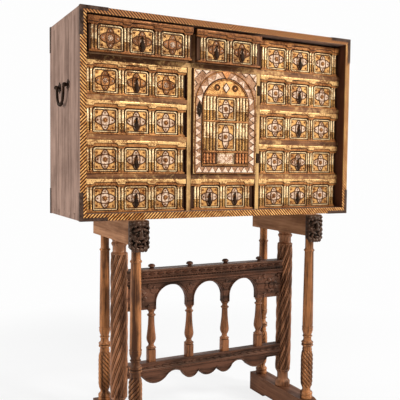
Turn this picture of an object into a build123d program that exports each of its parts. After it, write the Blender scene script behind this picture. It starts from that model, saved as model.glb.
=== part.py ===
from build123d import *
import math
import os

os.makedirs("parts", exist_ok=True)

# A Spanish writing chest (vargueno) on its arcaded trestle stand. Millimetres. X runs to the viewer's
# right, the front faces -Y and Z is up. The origin is on the floor, under the middle of the outline.

# ------------------------------------------------------------------ driving sizes: chest
CASE_WIDTH = 1060.0
CASE_DEPTH = 379.0
CASE_HEIGHT = 665.0
SIDE_BOARD = 20.0
TOP_BOARD = 20.0
BOTTOM_BOARD = 22.0
BACK_BOARD = 16.0
BANDING = 3.0  # thickness of the rope inlay let into the front edges
TAILS = 6  # dovetails at each corner
PIN_WIDTH = 16.0
TAIL_FLARE = 5.0
RECESS = 35.0  # the shelf edges lie this far behind the chest's front
SHELF = 16.0
DIVIDER = 15.0
TOP_DIVIDER = 12.0
TOP_DIVIDER_SETBACK = 28.0
CENTRE_OPENING = 262.0
TOP_GAP = 9.0  # open gap above the uppermost tier of drawers
TIERS = 5
IRON = 1.2  # thickness of the corner irons
IRON_LEG = 90.0
IRON_BAR = 10.0
IRON_WRAP = 14.0

# ------------------------------------------------------------------ driving sizes: drawers
RUNNING_GAP = 0.3
DRAWER_SIDE_GAP = 2.0
DRAWER_TOP_GAP = 0.7
DRAWER_BACK_GAP = 13.0
DRAWER_GROUND = 13.0  # the carved ground lies this far behind the shelf edges
FRONT_BOARD = 14.0
DRAWER_SIDE = 8.0
DRAWER_BOTTOM = 6.0
WALL_DROP = 12.0  # the walls stop this far below the top of the front
CORNICE_HEIGHT = 24.0
CORNICE_REACH = 10.0
CORNICE_ARCH = 10.0  # rise of the flat arch over each bay
CORNICE_SHOULDER = 7.0
CORNICE_OVERHANG = 4.0
CROWN = 5.0
BASE_STRIP = 6.0
BASE_REACH = 7.0
SIDE_DRAWER_END = 19.5
CENTRE_DRAWER_END = 26.0
COLUMN_BAND = 25.0  # width left between two bay frames for a pair of columns
COLUMN_RADIUS = 4.5
COLUMN_SIDES = 8
COLUMN_SPACING = 11.0
FRAME_BOTTOM = 7.0
FRAME_HEIGHT = 77.0
FRAME_BAR = 5.0
FRAME_REACH = 3.0
TOP_LEFT_DRAWN = 48.0  # the upper left drawer stands open this far
TOP_CENTRE_DRAWN = 37.0

# ------------------------------------------------------------------ driving sizes: drop pulls
PULL_HEIGHT = 57.0  # height of the staple's eye above the drawer's underside
PULL_STAND = 8.5  # the eye stands this far in front of the ground
EYE_OUTER = 3.8
EYE_BORE = 1.9
EYE_WIDTH = 3.0
STEM_WIDTH = 3.0
PULL_THICK = 2.2
PULL_BAR = 2.2
PULL_LENGTH = 43.0
PULL_WIDTH = 15.0
PULL_WINDOW = 5.4
PULL_OUTLINE = ((0.33, 0.0), (0.7, 0.27), (1.0, 0.62), (0.8, 0.85))  # shares of half width and drop

# ------------------------------------------------------------------ driving sizes: door
DOOR_GAP = 2.0
DOOR_TOP_GAP = 1.0
DOOR_SLAB = 11.0
DOOR_PROUD = 9.0  # the slab's face stands this far in front of the shelf edges
DOOR_MOULD = 3.0
DOOR_BORDER_OUT = 10.0
DOOR_BORDER = 27.0
ARCH_DROP = 122.0  # springing of the arch below the door's top edge
STOREY_LEVELS = (80.0, 186.0, 267.0)  # undersides of the three storey rails above the door's foot
STOREY_RAIL = 7.0
DOOR_PANEL = 72.0
DOOR_COLUMN_RADIUS = 5.0
DOOR_COLUMN_PITCH = 12.5
DOOR_COLUMNS = 4
BOSS_RADIUS = 9.0
BOSS_OFFSET = 36.0
BOSS_RISE = 61.0  # height of the bosses above the springing
HINGE_LEAF = 35.0
LEAF_MARGIN = 1.0  # bare wood left beside a leaf on the divider's edge
HINGE_LEVELS = (58.0, 301.0)  # middles of the hinges above the door's foot
HINGE_FORWARD = 8.0
HINGE_OUT = 2.0
KNUCKLE_RADIUS = 3.0
PIN_RADIUS = 1.5
PIN_CLEARANCE = 0.08
LEAF_THICK = 1.5
LOCK_X = -105.0
LOCK_RISE = 223.0
LOCK_WIDTH = 22.0
LOCK_HEIGHT = 60.0
LOCK_THICK = 1.5
KEYHOLE = 3.0

# ------------------------------------------------------------------ driving sizes: side handles
HANDLE_HEIGHT = 437.0  # handle pins above the chest's underside
HANDLE_BACK = 190.0  # middle of the handle behind the chest's front
HANDLE_SPAN = 106.0
HANDLE_STAND = 13.0
ROSE_LOBES = 8
ROSE_RADIUS = 23.0
ROSE_WAIST = 13.0
ROSE_THICK = 2.0
POST_RADIUS = 6.5
BAIL_PIN = 3.5
BAIL_PIN_CLEARANCE = 0.1
BAIL_WIRE = 3.8
BAIL_GAP = 0.5
BAIL_DROP = 62.0
BAIL_CORNER = 34.0
BAIL_BENDS = 3  # straight steps in which each corner is forged
BAIL_SWELL = 6.5
BAIL_SWELL_LENGTH = 36.0
BAIL_SWELL_END = 3.6

# ------------------------------------------------------------------ driving sizes: stand
STAND_HEIGHT = 775.0
TRESTLE_X = 348.0
COLUMN_SETBACK = 147.0  # the bridge and the thick columns behind the chest's front
FRONT_COLUMN = -10.0
REAR_COLUMN = 302.0
RUNNER_WIDTH = 66.0
RUNNER_HEIGHT = 74.0
RUNNER_FRONT = -50.0
RUNNER_BACK = 338.0
RUNNER_PAD = 100.0
RUNNER_LIFT = 9.0
RUNNER_NOSE = 42.0
BOX_WIDTH = 66.0
BOX_HEIGHT = 77.0
BOX_FRONT = -28.0
BOX_BACK = 338.0
BOX_WALL = 11.0
BOX_STOP = 14.0
LOPER_GAP = 0.3
LOPER_TAIL = 40.0  # free space behind the loper in its box
HEAD_REACH = 62.0  # nose of the carved head in front of the chest's front
HEAD_WIDTH = 69.0
HEAD_HEIGHT = 101.0
HEAD_FACE = 50.0
HEAD_BLOCK = 0.55  # share of the head's depth that is left square behind the face
HEAD_CHIN = 14.0
HEAD_JOWL_SHARE = 0.62  # widths of the head as shares of its half width
HEAD_CHIN_SHARE = 0.3
HEAD_NECK_SHARE = 0.94
FACE_WIDTH_SHARE = 0.6
FACE_HEIGHT_SHARE = 0.74
BROW_DROP = 36.0  # brow and lip below the top of the head
LIP_DROP = 67.0
NOSE_BRIDGE_SHARE = 0.16
NOSE_WING_SHARE = 0.4
NOSE_TAPER = 0.65
BROW_THICK = 8.0
BROW_LENGTH = 20.0
BROW_TILT = 14.0
BROW_REACH = 6.0
NECK_GAP = 1.0
COLUMN_NECK = 16.0  # radius of a slim column where it meets the box
COLUMN_FOOT_TURNING = (  # radius and height above the runner: base, spiral vase, ring
    (19.5, 0.0),
    (23.5, 7.0),
    (23.5, 24.0),
    (15.5, 34.0),
    (22.5, 50.0),
    (22.5, 178.0),
    (17.5, 196.0),
    (22.5, 206.0),
    (22.5, 219.0),
    (15.0, 226.0),
    (15.0, 244.0),
    (20.5, 264.0),
    (20.5, 282.0),
)
COLUMN_HEAD_TURNING = (  # radius and depth below the box: end of the taper, ring, neck
    (16.8, 66.0),
    (19.5, 62.0),
    (19.5, 54.0),
    (COLUMN_NECK, 48.0),
    (COLUMN_NECK, 0.0),
)
SPIRAL_RADIUS = 31.0
SPIRAL_ROOT = 27.0
SPIRAL_FLUTES = 9
SPIRAL_RIDGE = 0.22  # half width of a ridge as a share of one flute's pitch
SPIRAL_TURNS = 1.05
SPIRAL_FOOT_TURNING = (
    (26.0, 0.0),
    (30.0, 6.0),
    (30.0, 20.0),
    (21.5, 31.0),
    (21.5, 54.0),
    (SPIRAL_ROOT, 64.0),
)
SPIRAL_HEAD_TURNING = (
    (SPIRAL_ROOT, 52.0),
    (23.5, 46.0),
    (23.5, 24.0),
    (27.5, 18.0),
    (27.5, 0.0),
)

# ------------------------------------------------------------------ driving sizes: bridge
RAIL_DROP = 190.0  # top of the upper rail below the stand's top
RAIL_HEIGHT = 50.0
RAIL_THICK = 45.0
RAIL_NOTCH = 5.0
RAIL_NOTCH_HEIGHT = 6.0
RAIL_NOTCH_DROP = 31.0
SCRIBE = 0.4  # the corners of the rails' ends reach this far over the thick columns
SCRIBE_GAP = 0.05
ARCADE_THICK = 26.0
ARCADE_HEIGHT = 95.0
ARCH_RADIUS = 61.0
ARCH_PITCH = 151.0
ARCH_CROWN = 11.0  # wood left above each arch
ROSETTE_RADIUS = 33.0
ROSETTE_RISE = 5.0
ROSETTE_SIDES = 12
ROSETTE_TAPER = 30.0
LOWER_RAIL_LEVEL = 250.0  # top of the lower rail above the floor
LOWER_RAIL_HEIGHT = 35.0
LOWER_RAIL_THICK = 36.0
APRON_THICK = 24.0
APRON_DEPTH = 45.0
BALUSTER_PLINTH = 27.0
BALUSTER_PLINTH_HEIGHT = 44.0
BALUSTER_FOOT_TURNING = ((13.0, 0.0), (18.0, 7.0), (10.0, 18.0), (17.0, 40.0))
BALUSTER_HEAD_TURNING = ((11.0, 26.0), (14.5, 18.0), (10.0, 10.0), (14.5, 0.0))
FINIAL_TURNING = ((9.0, 0.0), (7.0, 5.0), (13.0, 8.5), (9.0, 17.0))
APRON_STATIONS = (0.26, 0.48, 0.69, 0.89, 1.1, 1.45, 1.755)  # its points along X in arch pitches
APRON_CREST = 0.18  # depths below the rail as shares of the apron's depth
APRON_FALL = 0.33
APRON_CUSP = 0.49

# ------------------------------------------------------------------ places that follow from the sizes
CASE_FRONT = (HEAD_REACH - CASE_DEPTH - IRON) / 2
CASE_BACK = CASE_FRONT + CASE_DEPTH
CASE_FLOOR = STAND_HEIGHT
CASE_TOP = CASE_FLOOR + CASE_HEIGHT
BOARD_FRONT = CASE_FRONT + BANDING
HALF_WIDTH = CASE_WIDTH / 2
INNER_X = HALF_WIDTH - SIDE_BOARD
INNER_FLOOR = CASE_FLOOR + BOTTOM_BOARD
INNER_TOP = CASE_TOP - TOP_BOARD
INNER_BACK = CASE_BACK - BACK_BOARD
SHELF_FRONT = CASE_FRONT + RECESS
TIER = (INNER_TOP - INNER_FLOOR - (TIERS - 1) * SHELF - TOP_GAP) / TIERS
TIER_PITCH = TIER + SHELF
UPPER_SHELF = INNER_FLOOR + (TIERS - 1) * TIER_PITCH - SHELF
CENTRE_X = CENTRE_OPENING / 2
SIDE_X = CENTRE_X + DIVIDER
SIDE_OPENING = INNER_X - SIDE_X
DRAWER_HEIGHT = TIER - RUNNING_GAP - DRAWER_TOP_GAP
GROUND_Y = SHELF_FRONT + DRAWER_GROUND
DRAWER_END_Y = INNER_BACK - DRAWER_BACK_GAP
DOOR_FOOT = INNER_FLOOR + TIER_PITCH + RUNNING_GAP
DOOR_TOP = UPPER_SHELF - DOOR_TOP_GAP
DOOR_HALF = CENTRE_X - DOOR_GAP
DOOR_FACE = SHELF_FRONT - DOOR_PROUD
HINGE_X = CENTRE_X + HINGE_OUT
HINGE_Y = SHELF_FRONT - HINGE_FORWARD
HANDLE_Z = CASE_FLOOR + HANDLE_HEIGHT
HANDLE_Y = CASE_FRONT + HANDLE_BACK
HANDLE_X = HALF_WIDTH + HANDLE_STAND
BOX_FLOOR = STAND_HEIGHT - BOX_HEIGHT
SPIRAL_Y = CASE_FRONT + COLUMN_SETBACK
RAIL_TOP = STAND_HEIGHT - RAIL_DROP
ARCADE_TOP = RAIL_TOP - RAIL_HEIGHT
ARCADE_FOOT = ARCADE_TOP - ARCADE_HEIGHT
SPRINGING = ARCADE_TOP - ARCH_CROWN - ARCH_RADIUS
APRON_TOP = LOWER_RAIL_LEVEL - LOWER_RAIL_HEIGHT
POST_PLACES = (-1.5 * ARCH_PITCH, -0.5 * ARCH_PITCH, 0.5 * ARCH_PITCH, 1.5 * ARCH_PITCH)


# ------------------------------------------------------------------ small makers
def face_plane(y):
    """Upright plane across the chest at depth y: sketches read X and Z, extrude goes forwards."""
    return Plane.XZ.offset(-y)


def slab(corner, opposite):
    """Plain squared board between two opposite corners, given in any order."""
    middle = [(a + b) / 2 for a, b in zip(corner, opposite)]
    size = [abs(a - b) for a, b in zip(corner, opposite)]
    with BuildPart() as piece:
        with BuildSketch(Plane.XY.offset(middle[2] - size[2] / 2)):
            with Locations((middle[0], middle[1])):
                Rectangle(size[0], size[1])
        extrude(amount=size[2])
    return piece.part


def turned(x, y, foot, lower, top=0.0, upper=()):
    """Lathe-turned piece on an upright axis.

    lower lists (radius, height above foot) and upper lists (radius, depth below top), from the
    foot up.
    """
    outline = [(x + radius, foot + height) for radius, height in lower]
    outline += [(x + radius, top - depth) for radius, depth in upper]
    with BuildPart() as piece:
        with BuildSketch(face_plane(y)):
            with BuildLine():
                Polyline((x, outline[0][1]), *outline, (x, outline[-1][1]), close=True)
            make_face()
        revolve(axis=Axis((x, y, 0), (0, 0, 1)))
    return piece.part


def write(name, pieces):
    """Write one node, as a single piece or as a group of separate like pieces."""
    node = pieces[0] if len(pieces) == 1 else Compound(children=pieces)
    node.label = name
    export_step(node, f"parts/{name}.step")


# ------------------------------------------------------------------ chest boards, dovetailed
def tail_shapes(root, tip):
    """Dovetails on the end of a side board, in the YZ plane; they widen from root to tip."""
    pitch = (CASE_BACK - BOARD_FRONT) / TAILS
    narrow = (pitch - PIN_WIDTH - TAIL_FLARE) / 2
    wide = (pitch - PIN_WIDTH + TAIL_FLARE) / 2
    for i in range(TAILS):
        y = BOARD_FRONT + (i + 0.5) * pitch
        corners = ((y - narrow, root), (y + narrow, root), (y + wide, tip), (y - wide, tip))
        Polygon(*corners, align=None)


BOARD_MIDDLE = (BOARD_FRONT + CASE_BACK) / 2
BOARD_DEPTH = CASE_BACK - BOARD_FRONT

with BuildPart() as case_top:
    with BuildSketch(Plane.XY.offset(INNER_TOP)):
        with Locations((0, BOARD_MIDDLE)):
            Rectangle(CASE_WIDTH, BOARD_DEPTH)
    extrude(amount=TOP_BOARD)
    for x in (-HALF_WIDTH, INNER_X):
        with BuildSketch(Plane.YZ.offset(x)):
            tail_shapes(INNER_TOP, CASE_TOP)
        extrude(amount=SIDE_BOARD, mode=Mode.SUBTRACT)
write("case_top", [case_top.part])

with BuildPart() as case_bottom:
    with BuildSketch(Plane.XY.offset(CASE_FLOOR)):
        with Locations((0, BOARD_MIDDLE)):
            Rectangle(CASE_WIDTH, BOARD_DEPTH)
    extrude(amount=BOTTOM_BOARD)
    for x in (-HALF_WIDTH, INNER_X):
        with BuildSketch(Plane.YZ.offset(x)):
            tail_shapes(INNER_FLOOR, CASE_FLOOR)
        extrude(amount=SIDE_BOARD, mode=Mode.SUBTRACT)
write("case_bottom", [case_bottom.part])

for hand, x in (("left", -HALF_WIDTH), ("right", INNER_X)):
    with BuildPart() as case_side:
        with BuildSketch(Plane.YZ.offset(x)):
            with Locations((BOARD_MIDDLE, (INNER_FLOOR + INNER_TOP) / 2)):
                Rectangle(BOARD_DEPTH, INNER_TOP - INNER_FLOOR)
            tail_shapes(INNER_TOP, CASE_TOP)
            tail_shapes(INNER_FLOOR, CASE_FLOOR)
        extrude(amount=SIDE_BOARD)
    write(f"case_{hand}_side", [case_side.part])

write(
    "case_back",
    [slab((-INNER_X, INNER_BACK, INNER_FLOOR), (INNER_X, CASE_BACK, INNER_TOP))],
)

# ------------------------------------------------------------------ rope inlay on the front edges, mitred
outer_corners = (
    (-HALF_WIDTH, CASE_FLOOR),
    (HALF_WIDTH, CASE_FLOOR),
    (HALF_WIDTH, CASE_TOP),
    (-HALF_WIDTH, CASE_TOP),
)
inner_corners = (
    (-INNER_X, INNER_FLOOR),
    (INNER_X, INNER_FLOOR),
    (INNER_X, INNER_TOP),
    (-INNER_X, INNER_TOP),
)
banding = []
for i in range(4):
    j = (i + 1) % 4
    with BuildPart() as strip:
        with BuildSketch(face_plane(CASE_FRONT)):
            Polygon(
                outer_corners[i], outer_corners[j], inner_corners[j], inner_corners[i], align=None
            )
        extrude(amount=-BANDING)
    banding.append(strip.part)
write("edge_banding", banding)


# ------------------------------------------------------------------ corner irons
def corner_iron(side, lift, depth):
    """Thin angle folded over a corner. side, lift and depth are -1 or 1 towards that corner."""
    corner = (
        side * HALF_WIDTH,
        CASE_FRONT if depth < 0 else CASE_BACK,
        CASE_TOP if lift > 0 else CASE_FLOOR,
    )
    out = (side, depth, lift)
    reach = (IRON_LEG, IRON_WRAP, IRON_LEG)
    skin = [c + o * IRON for c, o in zip(corner, out)]
    inside = [c - o * r for c, o, r in zip(corner, out, reach)]
    bar = [c - o * IRON_BAR for c, o in zip(corner, out)]
    with BuildPart() as iron:
        add(slab(skin, inside))
        add(slab(corner, inside), mode=Mode.SUBTRACT)
        add(slab((bar[0], skin[1], bar[2]), inside), mode=Mode.SUBTRACT)
    return iron.part


write(
    "corner_irons",
    [corner_iron(s, z, y) for s in (-1, 1) for z in (-1, 1) for y in (-1, 1)],
)

# ------------------------------------------------------------------ shelves and dividers
write(
    "upper_shelf",
    [slab((-INNER_X, SHELF_FRONT, UPPER_SHELF), (INNER_X, INNER_BACK, UPPER_SHELF + SHELF))],
)

row_shelves = []
for tier in range(1, TIERS - 1):
    z = INNER_FLOOR + tier * TIER_PITCH - SHELF
    for x0, x1 in ((-INNER_X, -SIDE_X), (SIDE_X, INNER_X)):
        row_shelves.append(slab((x0, SHELF_FRONT, z), (x1, INNER_BACK, z + SHELF)))
    if tier == 1:
        row_shelves.append(slab((-CENTRE_X, SHELF_FRONT, z), (CENTRE_X, INNER_BACK, z + SHELF)))
write("row_shelves", row_shelves)

for hand, x0, x1 in (("left", -SIDE_X, -CENTRE_X), ("right", CENTRE_X, SIDE_X)):
    divider = slab((x0, SHELF_FRONT, INNER_FLOOR), (x1, INNER_BACK, UPPER_SHELF))
    write(f"{hand}_divider", [divider])

DIVIDER_MIDDLE = (CENTRE_X + SIDE_X) / 2
write(
    "top_dividers",
    [
        slab(
            (x - TOP_DIVIDER / 2, SHELF_FRONT + TOP_DIVIDER_SETBACK, UPPER_SHELF + SHELF),
            (x + TOP_DIVIDER / 2, INNER_BACK, INNER_TOP),
        )
        for x in (-DIVIDER_MIDDLE, DIVIDER_MIDDLE)
    ],
)


# ------------------------------------------------------------------ drawers
def bay_places(width, end, bays):
    """Middles of the framed bays along a drawer front, and the middles of the column pairs."""
    pitch = (width - 2 * end) / bays
    middles = [(i - (bays - 1) / 2) * pitch for i in range(bays)]
    pairs = [(i - bays / 2) * pitch for i in range(bays + 1)]
    return pitch, middles, pairs


def drawer_front(plane, width, end, bays):
    """Carved front: ground, base strip, framed bays, half columns in pairs and an arched cornice."""
    pitch, middles, pairs = bay_places(width, end, bays)
    frame = pitch - COLUMN_BAND
    capitals = DRAWER_HEIGHT - CORNICE_HEIGHT
    with BuildPart() as front:
        with BuildSketch(plane):
            with Locations((0, DRAWER_HEIGHT / 2)):
                Rectangle(width - 2 * CORNICE_OVERHANG, DRAWER_HEIGHT)
        extrude(amount=-FRONT_BOARD)
        with BuildSketch(plane):
            with Locations((0, BASE_STRIP / 2)):
                Rectangle(width - 2 * CORNICE_OVERHANG, BASE_STRIP)
        extrude(amount=BASE_REACH)
        with BuildSketch(plane):
            with Locations((0, capitals + CORNICE_HEIGHT / 2)):
                Rectangle(width, CORNICE_HEIGHT)
            for x in middles:
                Polygon(
                    (x - frame / 2, capitals),
                    (x + frame / 2, capitals),
                    (x + frame / 2, capitals + CORNICE_ARCH - CORNICE_SHOULDER),
                    (x + frame / 2 - CORNICE_SHOULDER, capitals + CORNICE_ARCH),
                    (x - frame / 2 + CORNICE_SHOULDER, capitals + CORNICE_ARCH),
                    (x - frame / 2, capitals + CORNICE_ARCH - CORNICE_SHOULDER),
                    align=None,
                    mode=Mode.SUBTRACT,
                )
        extrude(amount=CORNICE_REACH)
        crown = front.edges().filter_by(Axis.X).group_by(Axis.Y)[0].sort_by(Axis.Z)[-1]
        chamfer(crown, CROWN / 2, CROWN)
        with BuildSketch(plane):
            with Locations(*[(x, FRAME_BOTTOM + FRAME_HEIGHT / 2) for x in middles]):
                Rectangle(frame, FRAME_HEIGHT)
                Rectangle(
                    frame - 2 * FRAME_BAR, FRAME_HEIGHT - 2 * FRAME_BAR, mode=Mode.SUBTRACT
                )
        extrude(amount=FRAME_REACH)
        places = [(x + s * COLUMN_SPACING / 2, 0) for x in pairs for s in (-1, 1)]
        foot = Plane(
            plane.origin + Vector(0, 0, BASE_STRIP), x_dir=(1, 0, 0), z_dir=(0, 0, 1)
        )
        with BuildSketch(foot):
            with Locations(*places):
                RegularPolygon(COLUMN_RADIUS, COLUMN_SIDES)
            with Locations((0, COLUMN_RADIUS)):
                Rectangle(width, 2 * COLUMN_RADIUS, mode=Mode.SUBTRACT)
        extrude(amount=capitals - BASE_STRIP)
    return front.part


def pull_staple(x, y, z):
    """Wrought eye on a stem driven through the drawer front; the pull hangs in its bore."""
    with BuildPart() as staple:
        with BuildSketch(Plane.YZ.offset(x - EYE_WIDTH / 2)):
            with Locations((y, z)):
                RegularPolygon(EYE_OUTER, 8)
            with Locations((y + PULL_STAND / 2, z)):
                Rectangle(PULL_STAND, STEM_WIDTH)
            with Locations((y, z)):
                RegularPolygon(EYE_BORE, 8, mode=Mode.SUBTRACT)
        extrude(amount=EYE_WIDTH)
    return staple.part


def drop_pull(x, y, z):
    """Flat teardrop drop with a square eye, cut from plate. It hangs straight down from its axis."""
    ring = PULL_WINDOW + 2 * PULL_BAR
    crown = z + PULL_BAR / 2
    neck = crown - ring + PULL_BAR / 2
    tip = z - PULL_LENGTH
    sides = []
    for side in (-1, 1):
        edge = [(x + side * u * PULL_WIDTH / 2, neck - v * (neck - tip)) for u, v in PULL_OUTLINE]
        sides.append(edge)
    with BuildPart() as pull:
        with BuildSketch(face_plane(y + PULL_THICK / 2)):
            with Locations((x, crown - ring / 2)):
                Rectangle(ring, ring)
                Rectangle(PULL_WINDOW, PULL_WINDOW, mode=Mode.SUBTRACT)
            Polygon(*sides[0], (x, tip), *reversed(sides[1]), align=None)
        extrude(amount=PULL_THICK)
    return pull.part


def make_drawer(name, x, z, width, end, bays, pull_bays, drawn):
    """One drawer, drawn out by the given length, with its staples and drop pulls."""
    ground = GROUND_Y - drawn
    plane = Plane((x, ground, z), x_dir=(1, 0, 0), z_dir=(0, -1, 0))
    back = DRAWER_END_Y - drawn
    wall_front = ground + FRONT_BOARD
    wall_top = z + DRAWER_HEIGHT - WALL_DROP
    half = width / 2 - CORNICE_OVERHANG
    pieces = [drawer_front(plane, width, end, bays)]
    for s in (-1, 1):
        outer, inner = x + s * half, x + s * (half - DRAWER_SIDE)
        pieces.append(slab((outer, wall_front, z), (inner, back, wall_top)))
    inside = half - DRAWER_SIDE
    pieces.append(slab((x - inside, back - DRAWER_SIDE, z), (x + inside, back, wall_top)))
    pieces.append(
        slab((x - inside, wall_front, z), (x + inside, back - DRAWER_SIDE, z + DRAWER_BOTTOM))
    )
    pitch, middles, pairs = bay_places(width, end, bays)
    for number, bay in enumerate(pull_bays):
        eye = (x + middles[bay], ground - PULL_STAND, z + PULL_HEIGHT)
        pieces.append(pull_staple(*eye))
        suffix = "" if len(pull_bays) == 1 else ("_left", "_right")[number]
        write(f"pull_{name}{suffix}", [drop_pull(*eye)])
    write(f"drawer_{name}", pieces)


SIDE_DRAWER = SIDE_OPENING - 2 * DRAWER_SIDE_GAP
CENTRE_DRAWER = CENTRE_OPENING - 2 * DRAWER_SIDE_GAP
SIDE_MIDDLE = (SIDE_X + INNER_X) / 2

for tier in range(TIERS):
    z = INNER_FLOOR + tier * TIER_PITCH + RUNNING_GAP
    for hand, x in (("left", -SIDE_MIDDLE), ("right", SIDE_MIDDLE)):
        drawn = TOP_LEFT_DRAWN if hand == "left" and tier == TIERS - 1 else 0.0
        make_drawer(f"{hand}_{tier + 1}", x, z, SIDE_DRAWER, SIDE_DRAWER_END, 3, (1,), drawn)

for tier, level, drawn in ((0, "bottom", 0.0), (TIERS - 1, "top", TOP_CENTRE_DRAWN)):
    z = INNER_FLOOR + tier * TIER_PITCH + RUNNING_GAP
    make_drawer(f"centre_{level}", 0, z, CENTRE_DRAWER, CENTRE_DRAWER_END, 2, (0, 1), drawn)

# ------------------------------------------------------------------ cupboard door
DOOR_HEIGHT = DOOR_TOP - DOOR_FOOT
SPRING_Z = DOOR_TOP - ARCH_DROP
BORDER_OUT = DOOR_HALF - DOOR_BORDER_OUT
BORDER_IN = BORDER_OUT - DOOR_BORDER
STOREYS = [DOOR_FOOT + level for level in STOREY_LEVELS]
COLUMN_X = [
    DOOR_PANEL / 2 + DOOR_COLUMN_PITCH * (i + 0.5) + DOOR_COLUMN_RADIUS
    for i in range(DOOR_COLUMNS)
]

with BuildPart() as door:
    with BuildSketch(face_plane(DOOR_FACE)):
        with Locations((0, (DOOR_FOOT + DOOR_TOP) / 2)):
            Rectangle(2 * DOOR_HALF, DOOR_HEIGHT)
    extrude(amount=-DOOR_SLAB)
    with BuildSketch(face_plane(DOOR_FACE)):
        for half, foot, mode in (
            (BORDER_OUT, DOOR_FOOT, Mode.ADD),
            (BORDER_IN, DOOR_FOOT + DOOR_BORDER, Mode.SUBTRACT),
        ):
            with Locations((0, (foot + SPRING_Z) / 2)):
                Rectangle(2 * half, SPRING_Z - foot, mode=mode)
            with Locations((0, SPRING_Z)):
                Circle(half, mode=mode)
    extrude(amount=DOOR_MOULD)
    with BuildSketch(face_plane(DOOR_FACE)):
        for level in STOREYS:
            with Locations((0, level - STOREY_RAIL / 2)):
                Rectangle(2 * BORDER_IN, STOREY_RAIL)
        for low, high in zip(STOREYS, STOREYS[1:]):
            with Locations((0, (low + high - STOREY_RAIL) / 2)):
                Rectangle(DOOR_PANEL, high - low - STOREY_RAIL)
                Rectangle(
                    DOOR_PANEL - 2 * FRAME_BAR,
                    high - low - STOREY_RAIL - 2 * FRAME_BAR,
                    mode=Mode.SUBTRACT,
                )
        with Locations((-BOSS_OFFSET, SPRING_Z + BOSS_RISE), (BOSS_OFFSET, SPRING_Z + BOSS_RISE)):
            Circle(BOSS_RADIUS)
        with Locations((0, SPRING_Z + BOSS_RISE)):
            Rectangle(2 * BOSS_RADIUS, 2 * BOSS_RADIUS, rotation=45)
    extrude(amount=DOOR_MOULD)
    for low, high in zip(STOREYS, STOREYS[1:]):
        with BuildSketch(Plane.XY.offset(low)):
            with Locations(*[(s * x, DOOR_FACE) for x in COLUMN_X for s in (-1, 1)]):
                RegularPolygon(DOOR_COLUMN_RADIUS, COLUMN_SIDES)
            with Locations((0, DOOR_FACE + DOOR_COLUMN_RADIUS)):
                Rectangle(2 * DOOR_HALF, 2 * DOOR_COLUMN_RADIUS, mode=Mode.SUBTRACT)
            with Locations((0, DOOR_FACE - DOOR_MOULD - DOOR_COLUMN_RADIUS)):
                Rectangle(2 * DOOR_HALF, 2 * DOOR_COLUMN_RADIUS, mode=Mode.SUBTRACT)
        extrude(amount=high - low - STOREY_RAIL)
write("door", [door.part])

# ------------------------------------------------------------------ door ironwork and hinges
HINGES = [DOOR_FOOT + level for level in HINGE_LEVELS]
THIRD = HINGE_LEAF / 3

with BuildPart() as lock_plate:
    with BuildSketch(face_plane(DOOR_FACE - DOOR_MOULD)):
        with Locations((LOCK_X, DOOR_FOOT + LOCK_RISE)):
            Polygon(
                (0, -LOCK_HEIGHT / 2),
                (LOCK_WIDTH / 2, 0),
                (0, LOCK_HEIGHT / 2),
                (-LOCK_WIDTH / 2, 0),
                align=None,
            )
            Rectangle(KEYHOLE, 3 * KEYHOLE, mode=Mode.SUBTRACT)
    extrude(amount=LOCK_THICK)

ironwork = [lock_plate.part]
leaves = []
for z in HINGES:
    with BuildPart() as knuckle:
        with BuildSketch(Plane.XY.offset(z - THIRD / 2 + RUNNING_GAP)):
            with Locations((HINGE_X, HINGE_Y)):
                Circle(KNUCKLE_RADIUS)
            with Locations(((DOOR_HALF + HINGE_X) / 2, HINGE_Y - KNUCKLE_RADIUS / 2)):
                Rectangle(HINGE_X - DOOR_HALF, KNUCKLE_RADIUS)
            with Locations((HINGE_X, HINGE_Y)):
                Circle(PIN_RADIUS + PIN_CLEARANCE, mode=Mode.SUBTRACT)
        extrude(amount=THIRD - 2 * RUNNING_GAP)
    ironwork.append(knuckle.part)
    with BuildPart() as leaf:
        with BuildSketch(Plane.XY.offset(z - HINGE_LEAF / 2)):
            leaf_end = SIDE_X - LEAF_MARGIN
            with Locations(((HINGE_X + leaf_end) / 2, SHELF_FRONT - LEAF_THICK / 2)):
                Rectangle(leaf_end - HINGE_X, LEAF_THICK)
        extrude(amount=HINGE_LEAF)
        for low in (z - HINGE_LEAF / 2, z + THIRD / 2):
            with BuildSketch(Plane.XY.offset(low)):
                with Locations((HINGE_X, HINGE_Y)):
                    Circle(KNUCKLE_RADIUS)
                with Locations((HINGE_X + KNUCKLE_RADIUS / 2, (HINGE_Y + SHELF_FRONT) / 2)):
                    Rectangle(KNUCKLE_RADIUS, SHELF_FRONT - HINGE_Y)
            extrude(amount=THIRD)
        with BuildSketch(Plane.XY.offset(z - THIRD / 2)):
            with Locations((HINGE_X, HINGE_Y)):
                Circle(PIN_RADIUS)
        extrude(amount=THIRD)
    leaves.append(leaf.part)
write("door_ironwork", ironwork)
write("door_hinges", leaves)


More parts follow.
